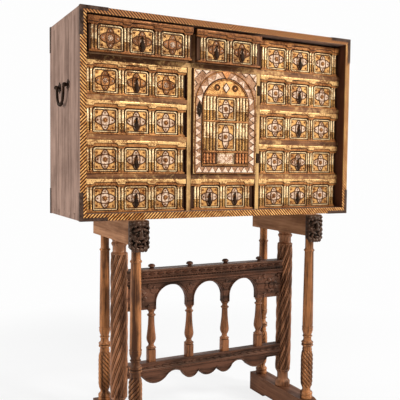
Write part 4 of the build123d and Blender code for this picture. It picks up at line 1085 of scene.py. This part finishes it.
def bead(height, radius, thick, neck):
    """Profile of a turned ring of that outer radius on a neck."""
    half = thick / 2
    points = [(neck, height - half)]
    for angle in (-60, -30, 0, 30, 60):
        a = math.radians(angle)
        points.append((radius - half * (1 - math.cos(a)), height + half * math.sin(a) * 1.1))
    return [*points, (neck, height + half)]


foot = [(19, 0), (22, 1.5), (23.5, 6), (23.5, 11), (21.5, 13.5), (21.5, 15), (23.5, 17.5)]
foot += [(23.5, 23), (21, 27), (17, 30), (15.3, 34), (15.6, 38), (17, 44)]
stem = [(16, 184), (18.5, 188), (17.5, 193), (16.5, 199), *bead(206, 22.4, 7, 18), (18, 211)]
stem += [*bead(216, 22.4, 7, 18), (16.5, 223), (15, 227), (14.8, 235), *bead(240, 18.5, 5, 15)]
stem += [(15.5, 246), (18, 254), (20.2, 262), (20.4, 268), *bead(274, 21.2, 5, 19.4), (19.2, 279)]
for i in range(9):
    rise = (TAPER_HIGH - TAPER_LOW) * i / 8
    stem.append((19.6 - 2.8 * (i / 8) ** 1.2, TAPER_LOW + rise))
stem += [*bead(HEIGHT - 58, 20.0, 8, 16.8), (16.2, HEIGHT - 52), (15.4, HEIGHT - 47)]
stem += [(15.4, HEIGHT - 12), (16, HEIGHT - 8), (16, HEIGHT)]
slim = shape("slim column", shaft_wood, (lathe, foot, 40), (lathe, stem, 40))

low, high = millimetres("turned_columns")
slim_x, front_y, rear_y = high[0] - SLIM_RADIUS, low[1] + SLIM_RADIUS, high[1] - SLIM_RADIUS
columns = []
for x, y, way in (
    (-slim_x, front_y, 0.95),
    (-slim_x, rear_y, -0.95),
    (slim_x, front_y, -0.95),
    (slim_x, rear_y, 0.95),
):
    columns.append(((x, y, RUNNER_TOP), slim, grown(twist, Turns=way, **VASE)))
fitted("turned_columns", "turned", "cabinet", "stand_walnut", *columns)

# ---------------------------------------------------------------- thick columns
# The two columns that the bridge is tenoned into, one to a trestle. Each is cut into nine broad
# strands with a thin fillet between, rising to the right, between a turned foot and a turned cap.
STRAND_DARK, STRAND_LIGHT = (0.05, 0.017, 0.008, 1), (0.33, 0.14, 0.066, 1)
strand_wood = wood(
    "walnut strands", STRAND_DARK, STRAND_LIGHT, 2, corner_shade=0.15, gloss=0.7, reach=0.014, figure=1.4
)
THICK_RADIUS = 31.0
FOOT_END, CAP_START = 64.0, HEIGHT - 52.0
STRANDS = dict(
    Foot=(0, 0, FOOT_END), Top=(0, 0, CAP_START), Radius=THICK_RADIUS, Groove=0.2, Strands=9,
    Broad=0.68, Turns=1.05, Narrowing=0.04, Finish=strand_wood,
)

foot = [(26, 0), (29, 1.5), (30, 6), (30, 19), (27.5, 22), (25.5, 24), (22.3, 29), (21.5, 34)]
foot += [(21.5, 51), (23.5, 57), (27, 61.5), (28.5, 65), (27, 68)]
cap = [(27, 56), (29.5, 53), (29, 50), (25, 47), (23.5, 45), (23.5, 27), (25.5, 24), (28, 19)]
cap += [(28, 15), (24.5, 11), (24.5, 6), (27, 4), (27, 0)]
cap = [(radius, HEIGHT - below) for radius, below in cap]
ends = shape("thick column", strand_wood, (lathe, foot, 48), (lathe, cap, 48))

low, high = millimetres("spiral_columns")
thick_x, thick_y = high[0] - THICK_RADIUS, (low[1] + high[1]) / 2
columns = []
for side in (-1, 1):
    columns.append(((side * thick_x, thick_y, RUNNER_TOP), ends, grown(twist, **STRANDS)))
fitted("spiral_columns", "twisted", "cabinet", "stand_walnut", *columns)

# ---------------------------------------------------------------- loper boxes
# The top beams of the trestles, bored lengthwise for the sliding supports. They are the solid model's
# own; the wood is dry and paler than the columns.
box_wood = wood("dry walnut beams", (0.15, 0.06, 0.026, 1), (0.42, 0.20, 0.095, 1), 1, gloss=0.4)
for node in ("left_loper_box", "right_loper_box"):
    dress(node, box_wood)

# ---------------------------------------------------------------- lopers
# Sliding walnut bars that would carry a writing flap, each with a carved mask on its front end, under
# the chest's edge: heavy brows, a broad nose, moustache, open mouth and curling locks.
MASK_HALF, MASK_HEIGHT, MASK_REACH = 34.5, 101.0, 33.5
CLEAR = 0.3  # keeps a mask off its bar's end and off the chest
BLOCK_TOP = MASK_HEIGHT - CLEAR
FACE_DEPTH = 34.0  # from the node's front to the bar's end
SKIN_GRAIN = 1.1  # facets of the fused skin
BAR_HALF, BAR_LOW, BAR_HIGH = 21.7, BOX_FLOOR + 11.3, BOX_FLOOR + 65.7
MASK_DARK, MASK_LIGHT = (0.014, 0.006, 0.004, 1), (0.085, 0.04, 0.025, 1)
mask_wood = wood("dark carved walnut", MASK_DARK, MASK_LIGHT, 2, corner_shade=0.12, gloss=0.8)
LOBES = (
    # middle x, y, z above the chin; half sizes x, y, z; tilt in degrees
    (0, -7, 54, 27, 13, 42, 0),  # skull
    (0, -15, 88, 20, 10, 10, 0),  # forehead
    (12, -23, 73, 14, 8, 5.4, 22),  # brows
    (0, -26, 60, 6.2, 8, 17, 0),  # nose
    (0, -27, 47.5, 9.5, 7, 7, 0),
    (9, -23, 46, 5.4, 5.6, 5, 0),  # nostrils
    (13.5, -16.5, 60.5, 6.4, 5.4, 4.6, -6),  # eyes
    (21, -16, 49, 9, 9.5, 10, 15),  # cheeks
    (13, -23, 36.5, 14, 6.5, 5, -24),  # moustache
    (0, -22, 21, 10, 6.5, 4, 0),  # lip
    (16, -17, 25, 5, 7, 10, -20),
    (0, -17, 9, 10, 10, 9, 0),  # beard
    (11, -16, 10, 6, 9, 11, 14),
    (21, -12, 9, 7, 9, 10, 6),
    (29, -10, 62, 5.5, 9, 8, 10),  # locks
    (29, -10, 79, 5.5, 9, 9, -25),
    (24, -13, 93, 9, 9, 7, 20),
    (9, -16, 96, 10, 8, 5, 10),
    (29, -11, 46, 5.4, 10, 8, -15),
    (28.5, -11, 31, 6, 9, 8, -25),
    (28, -11, 17, 6.4, 9, 8, -20),
    (6, -22, 88, 6, 5, 6, -30),
    (19, -19, 83, 6, 6, 5, -30),
)


def lobes(work):
    for x, y, z, wide, deep, tall, tilt in LOBES:
        for side in (1,) if x == 0 else (-1, 1):
            turn = Matrix.Rotation(math.radians(side * tilt), 4, "Y")
            sizes = Matrix.Diagonal((wide, deep, tall, 1.0))
            place = Matrix.Translation((side * x, y, z))
            bmesh.ops.create_uvsphere(
                work, u_segments=20, v_segments=12, radius=1.0, matrix=place @ turn @ sizes
            )


def fused(mesh, grain, low, high):
    """One skin over overlapping lumps, kept between two corners."""
    host = linked("host", mesh)
    remesh = host.modifiers.new("skin", "REMESH")
    remesh.mode = "VOXEL"
    remesh.voxel_size = grain
    smooth = host.modifiers.new("smooth", "SMOOTH")
    smooth.factor, smooth.iterations = 0.5, 2
    made = evaluated(host)
    for vert in made.vertices:
        for i in range(3):
            vert.co[i] = min(max(vert.co[i], low[i]), high[i])
    made.materials.clear()
    made.materials.append(mesh.materials[0])
    return made


head_block = (block, (-MASK_HALF, -9, 14), (MASK_HALF, 0, BLOCK_TOP), 1.0)
lumps = shape("carved mask", mask_wood, head_block, (lobes,))
mask = fused(lumps, SKIN_GRAIN, (-MASK_HALF, -MASK_REACH, 0.0), (MASK_HALF, 0.0, BLOCK_TOP))
for node in ("left_loper", "right_loper"):
    low, high = millimetres(node)
    middle, face = (low[0] + high[0]) / 2, low[1] + FACE_DEPTH
    length = high[1] - face
    bar = shape(
        "sliding bar", box_wood, (block, (-BAR_HALF, 0.0, BAR_LOW), (BAR_HALF, length, BAR_HIGH), 0.5)
    )
    groups = (((middle, face, 0), bar), ((middle, face - CLEAR, low[2]), mask))
    fitted(node, "carved", node, "stand_walnut", *groups)

# ---------------------------------------------------------------- bridge: upper rail
# A moulded walnut rail tenoned between the thick columns, gouged along its face with a row of leaves
# between fillets, over a lower bead.
RAIL_HALF = 325.5
RAIL_DARK, RAIL_LIGHT = (0.014, 0.005, 0.003, 1), (0.115, 0.045, 0.025, 1)
rail_wood = wood("carved walnut rails", RAIL_DARK, RAIL_LIGHT, 0, corner_shade=0.15, gloss=0.6, figure=1.6)
rail_low, rail_high = millimetres("bridge_top_rail")
rail_y = (rail_low[1] + rail_high[1]) / 2
RAIL_SECTION = [
    (-18.5, 0.0), (-20.0, 1.5), (-20.0, 5.0), (-17.5, 7.0), (-17.5, 9.0), (-21.0, 11.5),
    (-22.3, 14.0), (-21.0, 16.5), (-18.5, 18.0), (-18.5, 21.0), (-20.5, 22.5), (-20.5, 25.0),
    (-18.2, 26.5), (-18.2, 40.5), (-20.5, 42.0), (-22.0, 43.5), (-22.0, 48.0), (-20.5, 50.0),
]


def bar_of(work, section):
    """A straight moulded bar along x of that (y, z) section, the same behind as in front."""
    ring = section + [(-y, z) for y, z in reversed(section)]
    shell(work, [[(x, y, z) for y, z in ring] for x in (-RAIL_HALF, RAIL_HALF)])


def leaf(work, length, height, rise, level, z):
    """A gouged leaf with a midrib, pointed at both ends, on the front and on the back."""
    for side in (-1, 1):
        rings = []
        for i in range(9):
            share = -1 + 2 * i / 8
            half = height / 2 * (1 - share * share) ** 0.8 + 0.15
            top = rise * (1 - 0.5 * share * share)
            points = ((0, -half), (top, -half * 0.45), (top * 0.35, 0), (top, half * 0.45), (0, half))
            rings.append([(share * length / 2, side * (level + out), z + up) for out, up in points])
        shell(work, rings)


def row_of(name, count, pitch, *step):
    """Copies of one carved piece along a rail, centred on it."""
    return repeated(shape(name, rail_wood, step), count, -(count - 1) / 2 * pitch, pitch)


place = (0, rail_y, rail_low[2])
upper_rail = shape("upper rail", rail_wood, (bar_of, RAIL_SECTION))
upper_leaves = row_of("rail leaf", 19, 33.2, leaf, 27, 12, 4.2, 18.0, 33.5)
upper_beads = row_of("rail bead", 57, 11.05, leaf, 7, 5, 3.0, 18.0, 19.8)
group = (place, upper_rail, upper_leaves, upper_beads)
fitted("bridge_top_rail", "moulded", "cabinet", "stand_walnut", group)

# ---------------------------------------------------------------- bridge: arcade
# Three round arches cut from one walnut board under the upper rail. Their edges carry double
# mouldings, each spandrel has a fan of three leaves, and each broad end a carved rose with small
# flowers in its corners.
ARCH, ARCH_PITCH = 61.0, 151.0
SPRING_LINE = 23.0
ARCADE_FACE = 11.5
ROSE_X = 276.0
low, high = millimetres("bridge_arcade")
arcade_height = high[2] - low[2]


def arch_path(middle, radius):
    """One arch of the arcade with its short jambs."""
    top = arc(radius, 0, 180, 22, middle, SPRING_LINE)
    return [(middle + radius, 0.0), *top, (middle - radius, 0.0)]


def both_faces(work, build, *values):
    """The same relief on the front and, mirrored, on the back."""
    build(work, *values)
    made = bmesh.ops.duplicate(work, geom=list(work.verts) + list(work.edges) + list(work.faces))["geom"]
    for item in made:
        if isinstance(item, bmesh.types.BMVert):
            item.co.y = -item.co.y
    bmesh.ops.reverse_faces(work, faces=[f for f in made if isinstance(f, bmesh.types.BMFace)])


def arch_beads(work):
    for middle in (-ARCH_PITCH, 0, ARCH_PITCH):
        inner = arch_path(middle, ARCH + 3.4)
        moulding(work, inner, half_round(5.6, 3.4), False, -ARCADE_FACE)
        outer = arc(ARCH + 9.0, 18, 162, 24, middle, SPRING_LINE)
        moulding(work, outer, half_round(3.0, 2.2, 3), False, -ARCADE_FACE)


def spandrel_leaves(work):
    outline = [(half, up) for up, half in ((0, 1.0), (9, 5.0), (18, 6.5), (25.5, 4.5), (30, 0.6))]
    for middle in (-1.5 * ARCH_PITCH + 6, -0.5 * ARCH_PITCH, 0.5 * ARCH_PITCH, 1.5 * ARCH_PITCH - 6):
        for tilt, size in ((0, 1.0), (-38, 0.85), (38, 0.85)):
            c, s = math.cos(math.radians(tilt)), math.sin(math.radians(tilt))
            turned = []
            for x, z in [(x, z * size) for x, z in outline + mirrored(outline[::-1], -1)]:
                turned.append((middle + x * c + z * s, 56 - x * s + z * c))
            plate(work, turned, LET_IN - ARCADE_FACE, -2.4 - ARCADE_FACE, 1.4)


def roses(work):
    middle = arcade_height / 2
    for side in (-1, 1):
        rose_x = side * ROSE_X
        rosette(work, 31.0, 8, 5.0, -ARCADE_FACE, rose_x, middle, 0.72)
        ring = oval(12.0, 12.0, 20, rose_x, middle)
        moulding(work, ring, half_round(3.0, 2.0), True, -ARCADE_FACE - 5.5)
        for dx, dz in ((-1, -1), (-1, 1), (1, -1), (1, 1)):
            x, z = rose_x + dx * 32, middle + dz * 37
            if 1.5 * ARCH_PITCH + 4 < abs(x) < RAIL_HALF - 4:
                rosette(work, 10.0, 3, 3.0, -ARCADE_FACE, x, z, 0.5)


outline = [(-RAIL_HALF, 0), (-RAIL_HALF, arcade_height), (RAIL_HALF, arcade_height), (RAIL_HALF, 0)]
for middle in (ARCH_PITCH, 0, -ARCH_PITCH):
    outline += arch_path(middle, ARCH)
board = shape("arcade board", rail_wood, (plate, outline, ARCADE_FACE, -ARCADE_FACE, 1.0))
reliefs = [
    shape("relief", rail_wood, (both_faces, build)) for build in (arch_beads, spandrel_leaves, roses)
]
place = (0, rail_y, low[2])
fitted("bridge_arcade", "carved", "cabinet", "stand_walnut", (place, board, *reliefs))

# ---------------------------------------------------------------- bridge: lower rail
# A second rail between the thick columns, carved along its face with leaves, over a scalloped apron
# that is cut from the same board. A bead follows the scallops.
APRON_TOP, APRON_DEPTH, APRON_HALF_THICK = 215.0, 45.0, 10.5
STATIONS = tuple(ARCH_PITCH * share for share in (0.26, 0.48, 0.69, 0.89, 1.1, 1.45, 1.755))
LOWER_SECTION = [
    (-13.0, 0.0), (-15.5, 1.0), (-17.8, 3.0), (-17.8, 6.5), (-15.5, 8.5), (-14.5, 10.0),
    (-14.5, 25.0), (-16.5, 27.0), (-17.8, 29.0), (-17.8, 33.0), (-16.0, 35.0),
]


def through(first, middle, last):
    """Points on the circle through three points."""
    steps = 9
    (ax, az), (bx, bz), (cx, cz) = first, middle, last
    d = 2 * (ax * (bz - cz) + bx * (cz - az) + cx * (az - bz))
    a2, b2, c2 = ax * ax + az * az, bx * bx + bz * bz, cx * cx + cz * cz
    x = (a2 * (bz - cz) + b2 * (cz - az) + c2 * (az - bz)) / d
    z = (a2 * (cx - bx) + b2 * (ax - cx) + c2 * (bx - ax)) / d
    radius = math.hypot(ax - x, az - z)
    start, half, end = [math.atan2(pz - z, px - x) for px, pz in (first, middle, last)]
    sweep = (end - start) % (2 * math.pi)
    if (half - start) % (2 * math.pi) > sweep:
        sweep -= 2 * math.pi
    angles = [start + sweep * i / steps for i in range(steps + 1)]
    return [(x + radius * math.cos(a), z + radius * math.sin(a)) for a in angles]


def scallops(lift=0.0):
    """Lower edge of the apron from right to left."""
    crest, fall, cusp, foot = (
        APRON_TOP - share * APRON_DEPTH + lift for share in (0.18, 0.33, 0.49, 1.0)
    )
    inner, lobe, outer, peak, rise, wide, end = STATIONS
    right = [(RAIL_HALF, fall), *through((end, fall), (wide, foot), (rise, cusp))[:-1]]
    right += through((rise, cusp), (peak, crest), (outer, cusp))[:-1]
    right += through((outer, cusp), (lobe, foot), (inner, cusp))[:-1]
    middle = through((inner, cusp), (0, foot), (-inner, cusp))
    return right + middle + mirrored(right[::-1], -1)


low, high = millimetres("bridge_lower_rail")
outline = [*scallops(), (-RAIL_HALF, APRON_TOP + 2), (RAIL_HALF, APRON_TOP + 2)]
bead_section = half_round(4.4, 2.6, 4)
bead_step = (both_faces, moulding, scallops(4.0)[1:-1], bead_section, False, -APRON_HALF_THICK)
bar = shape("lower bar", rail_wood, (bar_of, LOWER_SECTION))
lower_leaves = row_of("lower leaf", 21, 29.8, leaf, 25, 13, 3.4, 14.2, 17.5)
apron = shape("apron", rail_wood, (plate, outline, APRON_HALF_THICK, -APRON_HALF_THICK, 0.8))
apron_bead = shape("apron bead", rail_wood, bead_step)
groups = (((0, rail_y, APRON_TOP), bar, lower_leaves), ((0, rail_y, 0), apron, apron_bead))
fitted("bridge_lower_rail", "carved", "cabinet", "stand_walnut", *groups)

# ---------------------------------------------------------------- bridge: balusters and finials
# Four turned balusters on square plinths stand on the lower rail and carry the arches, and four
# mushroom finials stand above them on the upper rail.
POST_DARK, POST_LIGHT = (0.035, 0.012, 0.006, 1), (0.28, 0.105, 0.042, 1)
post_wood = wood("walnut balusters", POST_DARK, POST_LIGHT, 2, gloss=0.7, figure=1.4)
low, high = millimetres("bridge_balusters")
post = high[2] - low[2]
first = -1.5 * ARCH_PITCH

plinth = (block, (-13.5, -13.5, 0), (13.5, 13.5, 44), 1.0)
profile = [(13, 44), (15.5, 45), *bead(49, 18, 6, 14), (12, 55), (10, 60), (10.2, 64)]
profile += [(13.5, 70), (16.5, 78), (17.2, 85), (16.0, 96), (14.0, 112), (12.0, 135)]
profile += [(11.0, post - 30), *bead(post - 22, 15.5, 6, 11.5), (10.2, post - 15)]
profile += [(10, post - 11), (12.5, post - 7), (15, post - 4), (15, post)]
baluster = shape("baluster", post_wood, plinth, (lathe, profile, 28))
posts = repeated(baluster, 4, first, ARCH_PITCH)
fitted("bridge_balusters", "turned", "cabinet", "stand_walnut", ((0, rail_y, low[2]), posts))

profile = [(9, 0), (9, 1.5), (7, 3), (7, 4.5), (12, 6.5), (13, 8.5), (12.6, 11)]
profile += [(10.5, 14), (6.5, 16.3), (1.5, 17)]
knobs = repeated(shape("finial", rail_wood, (lathe, profile, 24)), 4, first, ARCH_PITCH)
fitted("bridge_finials", "turned", "cabinet", "stand_walnut", ((0, rail_y, rail_high[2]), knobs))

# ---------------------------------------------------------------- light and floor
# The key lamp stands high at the front right, a weaker one low on the right, and a large one on the
# left, slightly behind. Floor and backdrop are pale and show white to the camera; only near the feet
# the floor keeps some shadow.
FLOOR_HALF = 12.0  # metres again, as the lamps' places
BACKDROP = (0.985, 0.985, 0.985, 1)
GLOW = 0.8  # share of plain white in what the camera sees of the near floor
FADE_FROM, FADE_TO = 0.8, 4.5  # squares of the distance from the middle
AMBIENT = 0.24  # the room's light on the object; the camera sees it at full strength

floor_mesh = bpy.data.meshes.new("floor")
work = bmesh.new()
bmesh.ops.create_grid(work, x_segments=1, y_segments=1, size=FLOOR_HALF)
work.to_mesh(floor_mesh)
work.free()
floor = linked("floor", floor_mesh)
material, net, shader = paint("pale floor", Roughness=0.9, Base_Color=(0.9, 0.9, 0.9, 1))
x, y, _ = net.split(net.place())
far = (x * x + y * y).rise(FADE_FROM, FADE_TO)
seen = net.node("ShaderNodeLightPath", out="Is Camera Ray") * (GLOW + (1.0 - GLOW) * far)
glow = net.node("ShaderNodeEmission", values={"Color": BACKDROP})
lit = Wire(net, shader.outputs[0])
mixed = net.node("ShaderNodeMixShader", values={0: seen, 1: lit, 2: glow})
net.feed(material.node_tree.nodes["Material Output"], "Surface", mixed)
floor_mesh.materials.append(material)

for name, place, aim, size, power in (
    ("key", (1.9, -4.6, 3.5), (0, 0, 0.9), 1.0, 242.0),
    ("right", (4.0, -1.7, 1.9), (0, 0, 0.9), 1.0, 120.0),
    ("left", (-3.4, 0.9, 1.5), (0, 0, 0.8), 2.0, 95.0),
):
    light = linked(name, bpy.data.lights.new(name, "AREA"))
    light.data.size = size
    light.data.energy = power
    light.location = place
    light.rotation_euler = (Vector(aim) - Vector(place)).to_track_quat("-Z", "Y").to_euler()

world = bpy.data.worlds.new("studio")
bpy.context.scene.world = world
world.use_nodes = True
net = Net(world.node_tree)
paths = world.node_tree.nodes.new("ShaderNodeLightPath")
camera_ray, glossy, through_glass = (
    Wire(net, paths.outputs[f"Is {kind} Ray"]) for kind in ("Camera", "Glossy", "Transmission")
)
shown = camera_ray + glossy + through_glass
backdrop = world.node_tree.nodes["Background"]
backdrop.inputs["Color"].default_value = BACKDROP
strength = shown.maths("MINIMUM", shown, 1.0) * (1.0 - AMBIENT) + AMBIENT
net.feed(backdrop, "Strength", strength)
bpy.context.scene.view_settings.view_transform = "Standard"
